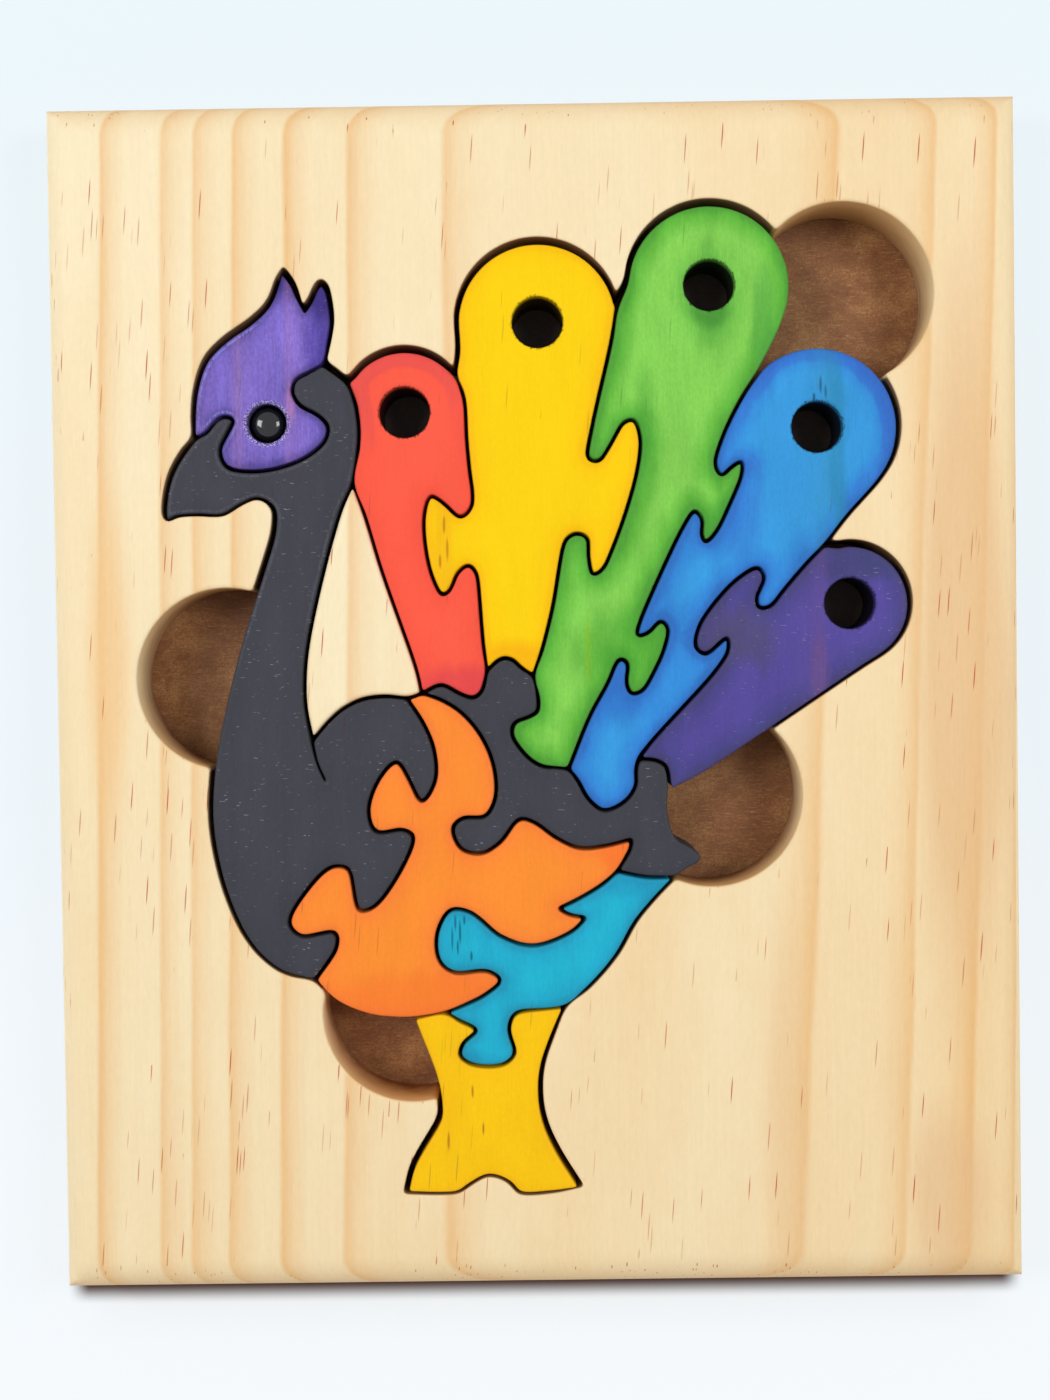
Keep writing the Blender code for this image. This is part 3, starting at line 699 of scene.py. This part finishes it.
def cells_of(place, **settings):
    """Cells round scattered points: the distance to the nearest one and the colour its cell has drawn."""
    node = new_node("ShaderNodeTexVoronoi", **settings)
    wire(place, node.inputs["Vector"])
    wire(1.0, node.inputs["Scale"])
    return node.outputs["Distance"], node.outputs["Color"]


def resin_canals(place, late, share=0.40):
    """A mask of short thin dashes along the grain; share says how many of the cells have one."""
    sizes = (1.0 / CANAL_SPACING, 1.0 / CANAL_LENGTH, 1.0 / CANAL_SPACING)
    leaning = add("ShaderNodeMapping", place, None, (0.0, 0.0, CANAL_LEAN))
    scaled = add("ShaderNodeMapping", leaning, (1.7, 0.4, 2.9), None, sizes)
    away, drawn = cells_of(scaled)
    core = spread(away, *CANAL_EDGE)
    chance, depth = (add("ShaderNodeSeparateColor", drawn, output=part) for part in (0, 1))
    patchy = noise(place, 22, 60, seed=5.0)
    limit = plus(times_plus(patchy, 2.2, share - 1.1), times(late, 0.45))
    core = times(core, sums("LESS_THAN", chance, limit))
    return times(core, spread(depth, 0.0, 1.0, 0.25, 1.0))


# %% Pine colours and where they lie
PINE_PALE = linear(249, 232, 193)
PINE_WARM = linear(240, 204, 148)
PINE_LATE = linear(236, 188, 126)
PINE_CANAL = linear(186, 62, 20)
PINE_END = linear(212, 160, 100)
NOTCH_SIDE = linear(252, 222, 170)
NOTCH_END = linear(226, 170, 108)
NOTCH_FOOT = linear(140, 78, 36)
# Painted shade for the sawn walls and the face along the saw line.
SAW_LINE_SHADE = linear(118, 80, 52)
WARM_PATCHES = (
    ((103, 5), (11, 100), (230, 186, 134), 0.75), ((-104, 8), (6, 44), (242, 198, 138), 0.65),
    ((100, -122), (11, 26), (230, 186, 136), 0.6), ((60, -105), (6, 50), (234, 196, 146), 0.4),
)
GLUE = linear(196, 186, 172)
GLUE_PATCH = ((97.0, 93.0), (5.0, 13.0))
NOTCH_CENTRES = ((-75.0, 5.4), (74.9, 96.3), (42.1, -24.6), (-31.2, -76.2))
NOTCH_RADIUS = 22.0


# %% Helpers: places on the board
def near_any(centres, x, y, *limits):
    """A mask round several places on the board; the limits are those of spread, for the distance from them."""
    flat = add("ShaderNodeCombineXYZ", x, y, 0.0)
    found = 0.0
    for centre in centres:
        away = add("ShaderNodeVectorMath", flat, (*centre, 0.0), output=1, operation="DISTANCE")
        found = sums("MAXIMUM", found, spread(away, *limits))
    return found


def patch_mask(place, ragged, centre, radii):
    """A soft oval patch with a ragged border, 1 in its middle; sizes in millimetres."""
    moved = add("ShaderNodeVectorMath", place, (*centre, 0.0), operation="SUBTRACT")
    scaled = add("ShaderNodeVectorMath", moved, (1.0 / radii[0], 1.0 / radii[1], 0.0), operation="MULTIPLY")
    away = add("ShaderNodeVectorMath", scaled, output=1, operation="LENGTH")
    away = plus(away, times_plus(ragged, 1.1, -0.55))
    return spread(away, 1.3, 0.45, smooth=True)


# %% Helper: sawn walls
def sawn_walls(colour, place, normal, facing):
    """Colours the walls: painted shade on the sawn walls and along the saw line. In the finger notches the walls
    are pale, darker towards the foot, with painted shade on those that face the top of the board.
    """
    x, y, z = parts_of(place)
    wall = spread(part_of(normal, 2), 0.75, 0.1)
    saw_edge = from_edge("hole_rim")
    sawn = times(wall, sums("LESS_THAN", saw_edge, 3.0))
    notch = near_any(NOTCH_CENTRES, x, y, NOTCH_RADIUS + 1.2, NOTCH_RADIUS + 0.6)
    down = spread(z, FACE - 1.0, BOARD_BOTTOM + 1.0)
    wall_blots = noise(place, 3.0, 9.0, detail=3.0, seed=6.0)
    # The notch walls grow darker towards the foot.
    darker_foot_and_painted_side_shade = times(sums("POWER", down, 1.8), spread(wall_blots, 0.3, 0.7, 0.55, 1.0))
    # Painted shade: notch walls facing the top of the board are made darker, those facing the bottom lighter.
    darker_foot_and_painted_side_shade = times(darker_foot_and_painted_side_shade, spread(part_of(normal, 1), -1.0, 1.0, 0.35, 1.5), clamp=True)
    notch_wall = blend(darker_foot_and_painted_side_shade, blend(facing, NOTCH_SIDE, NOTCH_END), NOTCH_FOOT)
    low = spread(times_plus(wall_blots, -2.4, z), BOARD_BOTTOM + 0.2, BOARD_BOTTOM - 0.4, 0.0, 0.9)
    notch_wall = blend(times(low, patch_mask(place, wall_blots, *GLUE_PATCH)), notch_wall, GLUE)
    # Painted shade: the sawn walls of the opening are darkened, as in the narrow gaps.
    colour = blend(times(sawn, 0.85), colour, blend(notch, SAW_LINE_SHADE, notch_wall))
    # Painted shade on the face along the saw line, away from the notches.
    shade = times(spread(saw_edge, 0.0, 0.4, 0.25, 0.0), minus(1.0, notch))
    return blend(shade, colour, SAW_LINE_SHADE, "MULTIPLY")


# %% Pine finish
def pine(name, lighter=0.0):
    """Pine with its rings, canals and fibres, darker on the ends, with painted shade on the sawn walls."""
    material, shader = new_material(name)
    place = millimetres()
    late = growth_rings(place)
    canals = resin_canals(place, late)
    fibres = noise(place, 0.8, 28, detail=4.0, roughness=0.6)
    flecks = noise(place, 0.9, 2.6, detail=3.0, roughness=0.7, seed=14.0)
    cloud = noise(place, 30, 150, seed=11.0)
    mottle = noise(place, 4.5, 9, detail=3.0, seed=2.0)

    diagonal = minus(times(part_of(place, 0), 0.0014), times(part_of(place, 1), 0.0007))
    warmth = plus(times_plus(cloud, 0.9, -0.09 - lighter), diagonal)
    warmth = plus(warmth, times_plus(mottle, 0.24, -0.12), clamp=True)
    colour = blend(warmth, PINE_PALE, PINE_WARM)
    colour = blend(times(late, spread(cloud, 0.3, 0.7, 0.7, 1.0)), colour, PINE_LATE)
    for centre, radii, shade, share in WARM_PATCHES:
        warm = times(patch_mask(place, cloud, centre, radii), share)
        colour = blend(warm, colour, linear(*shade))
    for pattern, depth in ((fibres, 0.018), (flecks, 0.022)):
        shade = spread(pattern, 0.3, 0.7, 1.0 - depth, 1.0 + depth)
        colour = blend(1.0, colour, shade, "MULTIPLY")
    colour = blend(times(canals, 0.9), colour, PINE_CANAL)

    normal = add("ShaderNodeNewGeometry", output=1)
    facing = sums("ABSOLUTE", part_of(normal, 1))
    colour = blend(times(sums("POWER", facing, 1.5), 0.62), colour, PINE_END)
    colour = sawn_walls(colour, place, normal, facing)

    paint(shader, colour, spread(fibres, 0.0, 1.0, 0.42, 0.62))
    shader.inputs["Specular IOR Level"].default_value = 0.2
    relief = minus(plus(fibres, times(flecks, 0.6)), times(canals, 0.5))
    relief = plus(relief, times(late, 0.5))
    raise_surface(shader, relief, 0.25, 0.06)
    return material


PINE = pine("pine")
PINE_ISLAND = pine("pine of the island", lighter=0.2)

# %% [markdown]
# ## Stains
# The pieces are coloured with thin stain that lets the wood show. It soaks in more along a sawn edge, so each
# colour is given for three distances from the edge, and late wood takes it differently from early wood. The
# same rings are used as in the frame, because the pieces were sawn from the same board.

# %% Stain colours
STAIN_DEPTHS = (0.8, 2.2, 6.0)
STAINS = {
    "violet": ((92, 78, 154), (118, 99, 187), (126, 106, 196)),
    "charcoal": ((63, 63, 70), (64, 64, 73), (66, 66, 75)),
    "red": ((247, 87, 66), (250, 90, 67), (252, 93, 70)),
    "yellow": ((251, 196, 8), (252, 204, 6), (252, 209, 8)),
    "green": ((82, 160, 56), (96, 179, 60), (130, 203, 82)),
    "blue": ((50, 113, 193), (52, 133, 212), (56, 152, 219)),
    "purple": ((70, 66, 116), (74, 69, 134), (84, 73, 150)),
    "orange": ((250, 131, 54), (252, 139, 52), (252, 144, 50)),
    "teal": ((36, 154, 186), (34, 170, 202), (34, 180, 207)),
    "leg_yellow": ((250, 192, 16), (251, 197, 15), (251, 199, 16)),
}


# %% Helpers: scratches and dashes
def nicks(place, turn, seed):
    """Short fine scratches, all lying about one way; turn is in radians."""
    turned = add("ShaderNodeMapping", place, (seed, seed, 0.0), (0.0, 0.0, turn), (0.28, 1.15, 1.0))
    bent = add("ShaderNodeTexNoise", place, None, 0.5, 1.0, output=1)
    bent = add("ShaderNodeVectorMath", turned, bent, operation="ADD")
    away, drawn = cells_of(bent, voronoi_dimensions="2D")
    return times(spread(away, 0.12, 0.05), spread(add("ShaderNodeSeparateColor", drawn), 0.22, 0.0))


def dashes(shade, *marks):
    """Short dark streaks along the grain as patches; each mark is a place and half a length in millimetres."""
    return tuple(((x, y), (0.32, half), shade, 0.85) for x, y, half in marks)


# %% Helper: holes in a stained piece
def soaked_and_shaded_hole(colour, place, grains, wear_and_highlight):
    """Darkens a ragged line round a hole where the stain sank in, and paints shade on the hole's walls,
    darker towards the bottom; a piece with edge wear has chips round the hole as well.
    """
    hole = from_edge("hole_rim")
    if wear_and_highlight:
        ring = spread(hole, 1.3, 0.8, 0.0, 0.8)
        chips = noise(place, 0.3, 0.3, detail=1.0, seed=21.0)
        for low, high, shade in ((0.5, 0.42, (74, 62, 116)), (0.54, 0.6, (202, 192, 230))):
            colour = blend(times(ring, spread(chips, low, high)), colour, linear(*shade))
    soaked_and_shaded = spread(plus(hole, times_plus(grains, 1.8, -0.9)), 0.0, 0.35, 0.7, 0.0)
    # Painted shade: the hole's walls turn nearly black further down.
    painted_hole_wall_shade = spread(plus(part_of(place, 2), times(grains, 1.6)), FACE + 0.4, FACE - 3.0, 0.2, 0.97)
    soaked_and_shaded = sums("MAXIMUM", soaked_and_shaded, times(painted_hole_wall_shade, sums("LESS_THAN", hole, 0.3)))
    return blend(soaked_and_shaded, colour, linear(16, 10, 12))


# %% Stain finish
FINISHES = {}


def stain(name, rings, ring_colour, streaks, blotches, uneven, patches=(), wear_and_highlight=None, scratches=0.0):
    """Stained pine: the stain's colours by distance from the edge, with the wood showing through.
    rings, streaks and blotches say how strongly each shows; uneven is how many millimetres the edge tint wanders.
    Each patch has a centre, two radii, a colour, a share and, if it only follows the edge, how wide it is;
    wear_and_highlight is the colour, share, centre and radii of a patch where the edge shows wear and a painted
    highlight lies along its rounding."""
    material, shader = new_material(name.replace("_", " ") + " stain")
    place = millimetres()
    late = growth_rings(place)
    fibres = noise(place, 0.42, 9, detail=4.0, roughness=0.7)
    cloud = noise(place, 7, 20, detail=3.0, seed=4.0)
    grains = noise(place, 0.5, 1.1, detail=2.0, seed=9.0)
    rim = from_edge("rim")
    wandering = plus(rim, times_plus(cloud, 2 * uneven, -uneven))
    stops = [(d / STAIN_DEPTHS[-1], linear(*colour)) for d, colour in zip(STAIN_DEPTHS, STAINS[name])]
    colour = ramp(sums("DIVIDE", wandering, STAIN_DEPTHS[-1]), *stops)
    for centre, radii, shade, share, *width in patches:
        mask = times(patch_mask(place, cloud, centre, radii), share)
        if width:
            mask = times(mask, spread(wandering, width[0] + 0.5, width[0] - 0.5))
        colour = blend(mask, colour, linear(*shade))
    colour = blend(times(late, rings), colour, linear(*ring_colour))
    for pattern, half, depth in ((fibres, 0.25, streaks), (cloud, 0.2, blotches), (grains, 0.2, 0.7 * streaks)):
        shade = spread(pattern, 0.5 - half, 0.5 + half, 1.0 - depth, 1.0 + depth)
        colour = blend(1.0, colour, shade, "MULTIPLY")
    colour = blend(times(resin_canals(place, late, 0.15), 0.4), colour, linear(80, 48, 40))
    # Painted shade: the face darkens right at the edge, where it rounds down into the gap.
    edge = spread(rim, 0.0, 0.35, 0.75, 1.0)
    colour = blend(1.0, colour, edge, "MULTIPLY")
    # Edge wear, partly a painted highlight along the rounded edge: a light speckled line within one patch.
    if wear_and_highlight:
        wear_and_highlight_colour, share, centre, radii = wear_and_highlight
        line = ramp(sums("DIVIDE", rim, 2.0), (0.15, 0.0), (0.3, 1.0), (0.4, 0.9), (0.6, 0.0))
        speckle = spread(grains, 0.38, 0.55, 0.15, 1.0)
        rubbed_and_highlit = times(times(line, speckle), times(patch_mask(place, cloud, centre, radii), share))
        colour = blend(rubbed_and_highlit, colour, linear(*wear_and_highlight_colour))
    if scratches:
        marks = sums("MAXIMUM", nicks(place, 0.9, 3.0), nicks(place, 2.1, 11.0))
        marks = times(marks, spread(cloud, 0.35, 0.65, 0.2 * scratches, scratches))
        colour = blend(marks, colour, linear(170, 168, 174))
    colour = soaked_and_shaded_hole(colour, place, grains, wear_and_highlight)
    paint(shader, colour, spread(fibres, 0.0, 1.0, 0.45, 0.62))
    shader.inputs["Specular IOR Level"].default_value = 0.1
    relief = plus(fibres, times(late, 0.4))
    raise_surface(shader, relief, 0.3, 0.07)
    FINISHES[name] = material


# %% The stains, each with its own patches
stain("violet", 0.40, (150, 112, 176), 0.18, 0.13, 1.4, scratches=0.45,
    wear_and_highlight=((140, 138, 222), 0.8, (-78, 82), (18, 20)), patches=(
    ((-52, 86), (4.5, 9), (80, 64, 156), 0.7), ((-58.5, 72), (1.3, 5.5), (186, 128, 180), 0.6),
    ((-71, 72), (0.8, 16), (150, 118, 180), 0.5), ((-52, 58), (10, 3.4), (80, 66, 146), 0.7),
    ((-60.3, 103.5), (5.5, 9), (52, 42, 110), 0.95), ((-50.6, 98.5), (5, 9.5), (56, 44, 116), 0.95)))
stain("charcoal", 0.15, (58, 55, 60), 0.06, 0.06, 0.5, scratches=0.8,
    wear_and_highlight=((104, 102, 112), 0.4, (-70, 40), (40, 30)))
# The red's second patch is a darker band round the feather's end: partly stain, partly painted shade on its
# sloping edge.
stain("red", 0.10, (250, 104, 76), 0.03, 0.025, 0.5, patches=(
    ((-19, 2), (11, 6), (226, 70, 76), 0.8), ((-31, 84), (22, 22), (232, 82, 78), 0.75, 3.4)))
stain("yellow", 0.12, (246, 192, 16), 0.025, 0.02, 0.6, patches=(
    ((-4, 9), (13, 5), (250, 176, 10), 0.8), ((0, 50), (60, 80), (250, 190, 6), 0.5, 1.4),
    ((-22, 38), (2, 12), (246, 178, 20), 0.5),
    *dashes((196, 128, 20), (-21.9, 42, 2), (-21.2, 36, 2.6), (-23, 33, 1.6))))
stain("green", 0.30, (100, 168, 56), 0.075, 0.09, 2.2, patches=(
    ((42.4, 96), (8.5, 12.5), (78, 162, 58), 0.75), ((12.5, 12), (1, 8), (150, 196, 40), 0.6),
    ((27, 66), (3, 16), (70, 152, 52), 0.6), ((47, 40), (8, 8), (68, 154, 54), 0.7),
    ((20, 12), (12, 10), (76, 162, 50), 0.6), ((56, 88), (3, 16), (84, 166, 66), 0.6),
    ((42.6, 92.2), (6, 4), (66, 138, 50), 0.7)))
# The blue's first patch is a darker band round the feather's end: partly stain, partly painted shade on its
# sloping edge.
stain("blue", 0.50, (54, 140, 178), 0.06, 0.06, 2, patches=(
    ((68, 70), (24, 22), (56, 106, 200), 0.65, 3.2), ((50, 42), (6, 10), (54, 118, 206), 0.5),
    ((20, 0), (8, 8), (48, 110, 196), 0.6), ((73.1, 58), (2.5, 26), (46, 134, 176), 0.75),
    *dashes((28, 60, 96), (69.4, 74.4, 2), (70.6, 72.6, 1.8), (67.8, 71.4, 1))))
stain("purple", 0.35, (104, 78, 130), 0.06, 0.06, 1.6, scratches=0.6, patches=(
    ((50, 14), (10, 8), (80, 74, 114), 0.8), ((68.5, 4), (2.4, 12), (108, 78, 134), 0.6),
    ((80, 30.5), (11, 4.5), (66, 66, 112), 0.8)))
stain("orange", 0.14, (250, 126, 50), 0.035, 0.025, 0.8, patches=(
    ((-30, -73), (26, 7), (250, 112, 46), 0.45), ((20, -38), (6, 5), (250, 116, 46), 0.7)))
stain("teal", 0.25, (30, 148, 176), 0.06, 0.06, 1.2, patches=(
    ((22, -45), (10, 4), (34, 150, 190), 0.5), ((-18, -88), (6, 3), (32, 136, 172), 0.6),
    *dashes((20, 92, 116), (-21.4, -58.6, 3.4), (-20.6, -54.6, 2.2), (-20.1, -60.6, 2),
        (-19.5, -57, 3), (-18.4, -54, 1.2), (-16.8, -62.8, 1.2))))
stain("leg_yellow", 0.20, (240, 176, 24), 0.035, 0.03, 0.8, patches=dashes(
    (178, 112, 26), (-17, -96, 1.8), (-23, -108, 2.2), (-14.5, -105, 1.8)))
print("stains:", ", ".join(FINISHES))

# %% The lift-out pieces
PIECES = {
    "head": "violet", "neck": "charcoal", "red_feather": "red", "yellow_feather": "yellow",
    "green_feather": "green", "blue_feather": "blue", "purple_feather": "purple", "back": "charcoal",
    "wing": "orange", "belly": "teal", "legs": "leg_yellow",
}
EDGE_ROWS = (0.06, 0.22, 0.48, 0.8, 1.15, 1.55, 2.2, 3.2)
LINE_STEP = 0.55
PIECE_GRID = 2.5
FEATHER_ROOT = Vector((0.0, -20.0))
ROUND_ENDS = {
    "red_feather": ((-31.1, 69.2), 1.7), "yellow_feather": ((1.3, 90.4), 0.5),
    "green_feather": ((42.8, 98.7), 0.9), "blue_feather": ((68.5, 64.3), 1.7),
    "purple_feather": ((76.0, 21.6), 0.9),
}


def end_softness(name):
    """How much wider the rounding is at a feather's round end than along its sides."""
    if name not in ROUND_ENDS:
        return None
    middle, extra = Vector(ROUND_ENDS[name][0]), ROUND_ENDS[name][1]
    outwards = (middle - FEATHER_ROOT).normalized()

    def softness(spot):
        share = min(1.0, max(0.0, ((Vector(spot[:2]) - middle).dot(outwards) + 4.0) / 10.0))
        return 1.0 + extra * share * share * (3 - 2 * share)

    return softness


# %% The eleven pieces
for body, colour in PIECES.items():
    node = "piece_" + body
    loops = [smooth_loop(loop, LINE_STEP) for loop in underside_loops(node)]
    sheet = flat_sheet(body, loops, EDGE_ROWS, PIECE_GRID, end_softness(body))
    piece = make_slab(
        body, sheet, FINISHES[colour], Top=FACE, Bottom=BOARD_BOTTOM, Edge_Width=0.65, Edge_Drop=0.45,
        Hole_Width=0.4, Hole_Drop=0.4, Underside_Rounding=0.4, Crown_Width=3.2, Crown_Drop=0.08,
    )
    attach(piece, body)
    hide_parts(node)

# %% The board
outside, *openings = underside_loops("frame_board")
BOARD_STEP, BOARD_GRID = 0.8, 5.0
BOARD_ROWS = (0.1, 0.3, 0.6, 1.0, 1.5, 2.2, 3.0, 4.0, 5.2, 6.6, 8.0)
board_loops = [smooth_loop(outside, BOARD_STEP, easing=0)]
board_loops += [smooth_loop(loop, BOARD_STEP) for loop in openings]


def notch_softness(spot):
    """The finger notches are sanded rounder than the saw line: 1 along the saw line, 2 at a notch."""
    away = min(abs(math.dist(spot[:2], centre) - NOTCH_RADIUS) for centre in NOTCH_CENTRES)
    inner = min(math.dist(spot[:2], centre) for centre in NOTCH_CENTRES) < NOTCH_RADIUS + 4.0
    return 1.0 + (max(0.0, 1.0 - away / 4.0) if inner else 0.0)


sheet = flat_sheet("board", board_loops, BOARD_ROWS, BOARD_GRID, notch_softness)
board = make_slab(
    "board", sheet, PINE, Top=FACE, Bottom=BOARD_BOTTOM, Edge_Width=8.0, Edge_Drop=5.5, Hole_Width=0.4,
    Hole_Drop=0.4, Underside_Rounding=0.3, Crown_Width=4.0, Crown_Drop=0.05,
)
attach(board, "tray")
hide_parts("frame_board")

# %% The island
island_loops = [smooth_loop(loop, LINE_STEP) for loop in underside_loops("neck_island")]
sheet = flat_sheet("island", island_loops, EDGE_ROWS, PIECE_GRID)
island = make_slab(
    "island", sheet, PINE_ISLAND, Top=FACE, Bottom=BOARD_BOTTOM, Edge_Width=0.9, Edge_Drop=0.8,
    Hole_Width=0.5, Hole_Drop=0.5, Underside_Rounding=0.3, Crown_Width=4.0, Crown_Drop=0.1,
)
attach(island, "tray")
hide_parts("neck_island")

# %% [markdown]
# ## Hardboard
# The backing is hardboard: brown wood fibre pressed flat, smooth on the face and mottled in lighter and darker
# patches, with short pale fibres lying every way. Its underside has the fine woven print of the press screen.
# It is the same kind of slab as the pieces, only with hardly any rounding.

# %% Hardboard finish
HARDBOARD_DARK = linear(100, 54, 24)
HARDBOARD_MID = linear(138, 88, 46)
HARDBOARD_PALE = linear(194, 144, 90)
SCREEN_PITCH = 1.6
BACKING_STEP, BACKING_GRID = 2.0, 8.0
BACKING_ROWS = (0.2, 0.5, 1.2)
EYE_CENTRE = Vector((-64.4, 67.0))
HOLE_CENTRES = (*(centre for centre, _ in ROUND_ENDS.values()), EYE_CENTRE)

hardboard, shader = new_material("hardboard")
place = millimetres()
patches = add("ShaderNodeTexNoise", place, None, 0.08, 7.0, 0.64)
fine = add("ShaderNodeTexNoise", place, None, 1.6, 5.0, 0.78)
tone = plus(times(patches, 0.55), times(fine, 0.45))
colour = ramp(tone, (0.34, HARDBOARD_DARK), (0.5, HARDBOARD_MID), (0.66, HARDBOARD_PALE))
for turn, seed in ((0.5, 1.0), (-0.4, 9.0), (1.3, 17.0)):
    lie = add("ShaderNodeMapping", place, (seed, seed, 0.0), (0.0, 0.0, turn), (0.35, 2.4, 0.8))
    strands = add("ShaderNodeTexNoise", lie, None, 1.0, 3.0, 0.7)
    colour = blend(spread(strands, 0.60, 0.68, 0.0, 0.5), colour, HARDBOARD_PALE)
    colour = blend(spread(strands, 0.40, 0.30, 0.0, 0.5), colour, HARDBOARD_DARK)
x, y, z = parts_of(place)
# Painted shade: dark spots on the hardboard under the drilled holes, where they lie in shade.
painted_hole_shade = near_any(HOLE_CENTRES, x, y, 10.0, 7.0, 0.0, 0.92)
colour = blend(painted_hole_shade, colour, linear(24, 14, 10))

waves = [sums("SINE", times(along, 2 * math.pi / SCREEN_PITCH)) for along in (x, y)]
weave = times(waves[0], waves[1])
faces_down = part_of(add("ShaderNodeNewGeometry", output=1), 2)
faces_down = spread(faces_down, -0.5, -0.9)
printed = times(weave, faces_down)
colour = blend(1.0, colour, times_plus(printed, 0.12, 1.0), "MULTIPLY")
paint(shader, colour, spread(fine, 0.3, 0.7, 0.55, 0.75))
raise_surface(shader, plus(fine, printed), 0.4, 0.1)

# %% Backing
backing_loops = [smooth_loop(loop, BACKING_STEP, easing=0) for loop in underside_loops("backing_board")]
sheet = flat_sheet("backing_sheet", backing_loops, BACKING_ROWS, BACKING_GRID)
backing = make_slab(
    "backing_sheet", sheet, hardboard, Top=BACKING_THICKNESS, Bottom=0.0, Edge_Width=0.5, Edge_Drop=0.4,
    Hole_Width=0.5, Hole_Drop=0.5, Underside_Rounding=0.4, Crown_Width=1.0, Crown_Drop=0.0,
)
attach(backing, "tray")
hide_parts("backing_board")

# %% [markdown]
# ## The eye
# The eye is a bought glossy black stud with a flat rim and a round dome. It is turned: a short profile is spun
# round its axis. The polish shows the two lamps as small bright spots, so the surface is almost mirror smooth,
# with a trace of dust and smears where the dome has been rubbed.

# %% Eye finish
EYE_SIDES = 72
RIM_RADIUS, SHANK_RADIUS, DOME_RADIUS = 4.45, 2.55, 4.1
RIM_TOP, RIM_FOOT, DOME_TOP = 19.1, 16.9, 21.7
DOME_FULLNESS = 2.6

eye_finish, shader = new_material("gloss black eye")
place = millimetres()
smear = add("ShaderNodeTexNoise", place, None, 0.9, 3.0, 0.6)
dust = add("ShaderNodeTexNoise", place, None, 9.0, 2.0, 0.5)
speck = spread(dust, 0.70, 0.78, 0.0, 0.5)
colour = blend(speck, blend(smear, linear(10, 11, 13), linear(26, 28, 31)), linear(120, 118, 116))
paint(shader, colour, spread(smear, 0.3, 0.7, 0.05, 0.12))
raise_surface(shader, smear, 0.05, 0.02)

# %% The eye's profile
profile = [(0.0, BOARD_BOTTOM), (SHANK_RADIUS - 0.4, BOARD_BOTTOM), (SHANK_RADIUS, BOARD_BOTTOM + 0.4)]
profile += [(SHANK_RADIUS, RIM_FOOT - 0.2), (SHANK_RADIUS + 0.2, RIM_FOOT), (RIM_RADIUS - 0.3, RIM_FOOT)]
for step in range(9):
    around = math.pi * (step / 8 - 0.5)
    profile.append((RIM_RADIUS - 0.3 + 0.3 * math.cos(around), RIM_TOP - 0.9 + 0.6 * math.sin(around)))
profile.append((DOME_RADIUS + 0.2, RIM_TOP - 0.25))
for step in range(24):
    around = math.pi / 2 * step / 24
    out, up = (value ** (2 / DOME_FULLNESS) for value in (math.cos(around), math.sin(around)))
    profile.append((DOME_RADIUS * out, RIM_TOP - 0.2 + (DOME_TOP - RIM_TOP + 0.2) * up))
profile.append((0.0, DOME_TOP))

# %% Eye
shape = bmesh.new()
rings = []
for radius, height in profile:
    count = 1 if radius == 0 else EYE_SIDES
    angles = [2 * math.pi * i / EYE_SIDES for i in range(count)]
    spots = [(EYE_CENTRE.x + radius * math.cos(a), EYE_CENTRE.y + radius * math.sin(a), height) for a in angles]
    rings.append([shape.verts.new(Vector(spot) * MM) for spot in spots])
for lower, upper in zip(rings, rings[1:]):
    for i in range(EYE_SIDES):
        j = (i + 1) % EYE_SIDES
        corners = [lower[i % len(lower)], lower[j % len(lower)], upper[j % len(upper)], upper[i % len(upper)]]
        shape.faces.new(list(dict.fromkeys(corners)))
bmesh.ops.recalc_face_normals(shape, faces=shape.faces[:])
eye_mesh = bpy.data.meshes.new("stud_eye")
shape.to_mesh(eye_mesh)
shape.free()
eye_mesh.shade_smooth()
eye_mesh.materials.append(eye_finish)
eye = placed("stud_eye", eye_mesh)
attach(eye, "head")
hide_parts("eye")
print("stud_eye:", len(eye_mesh.polygons), "faces")
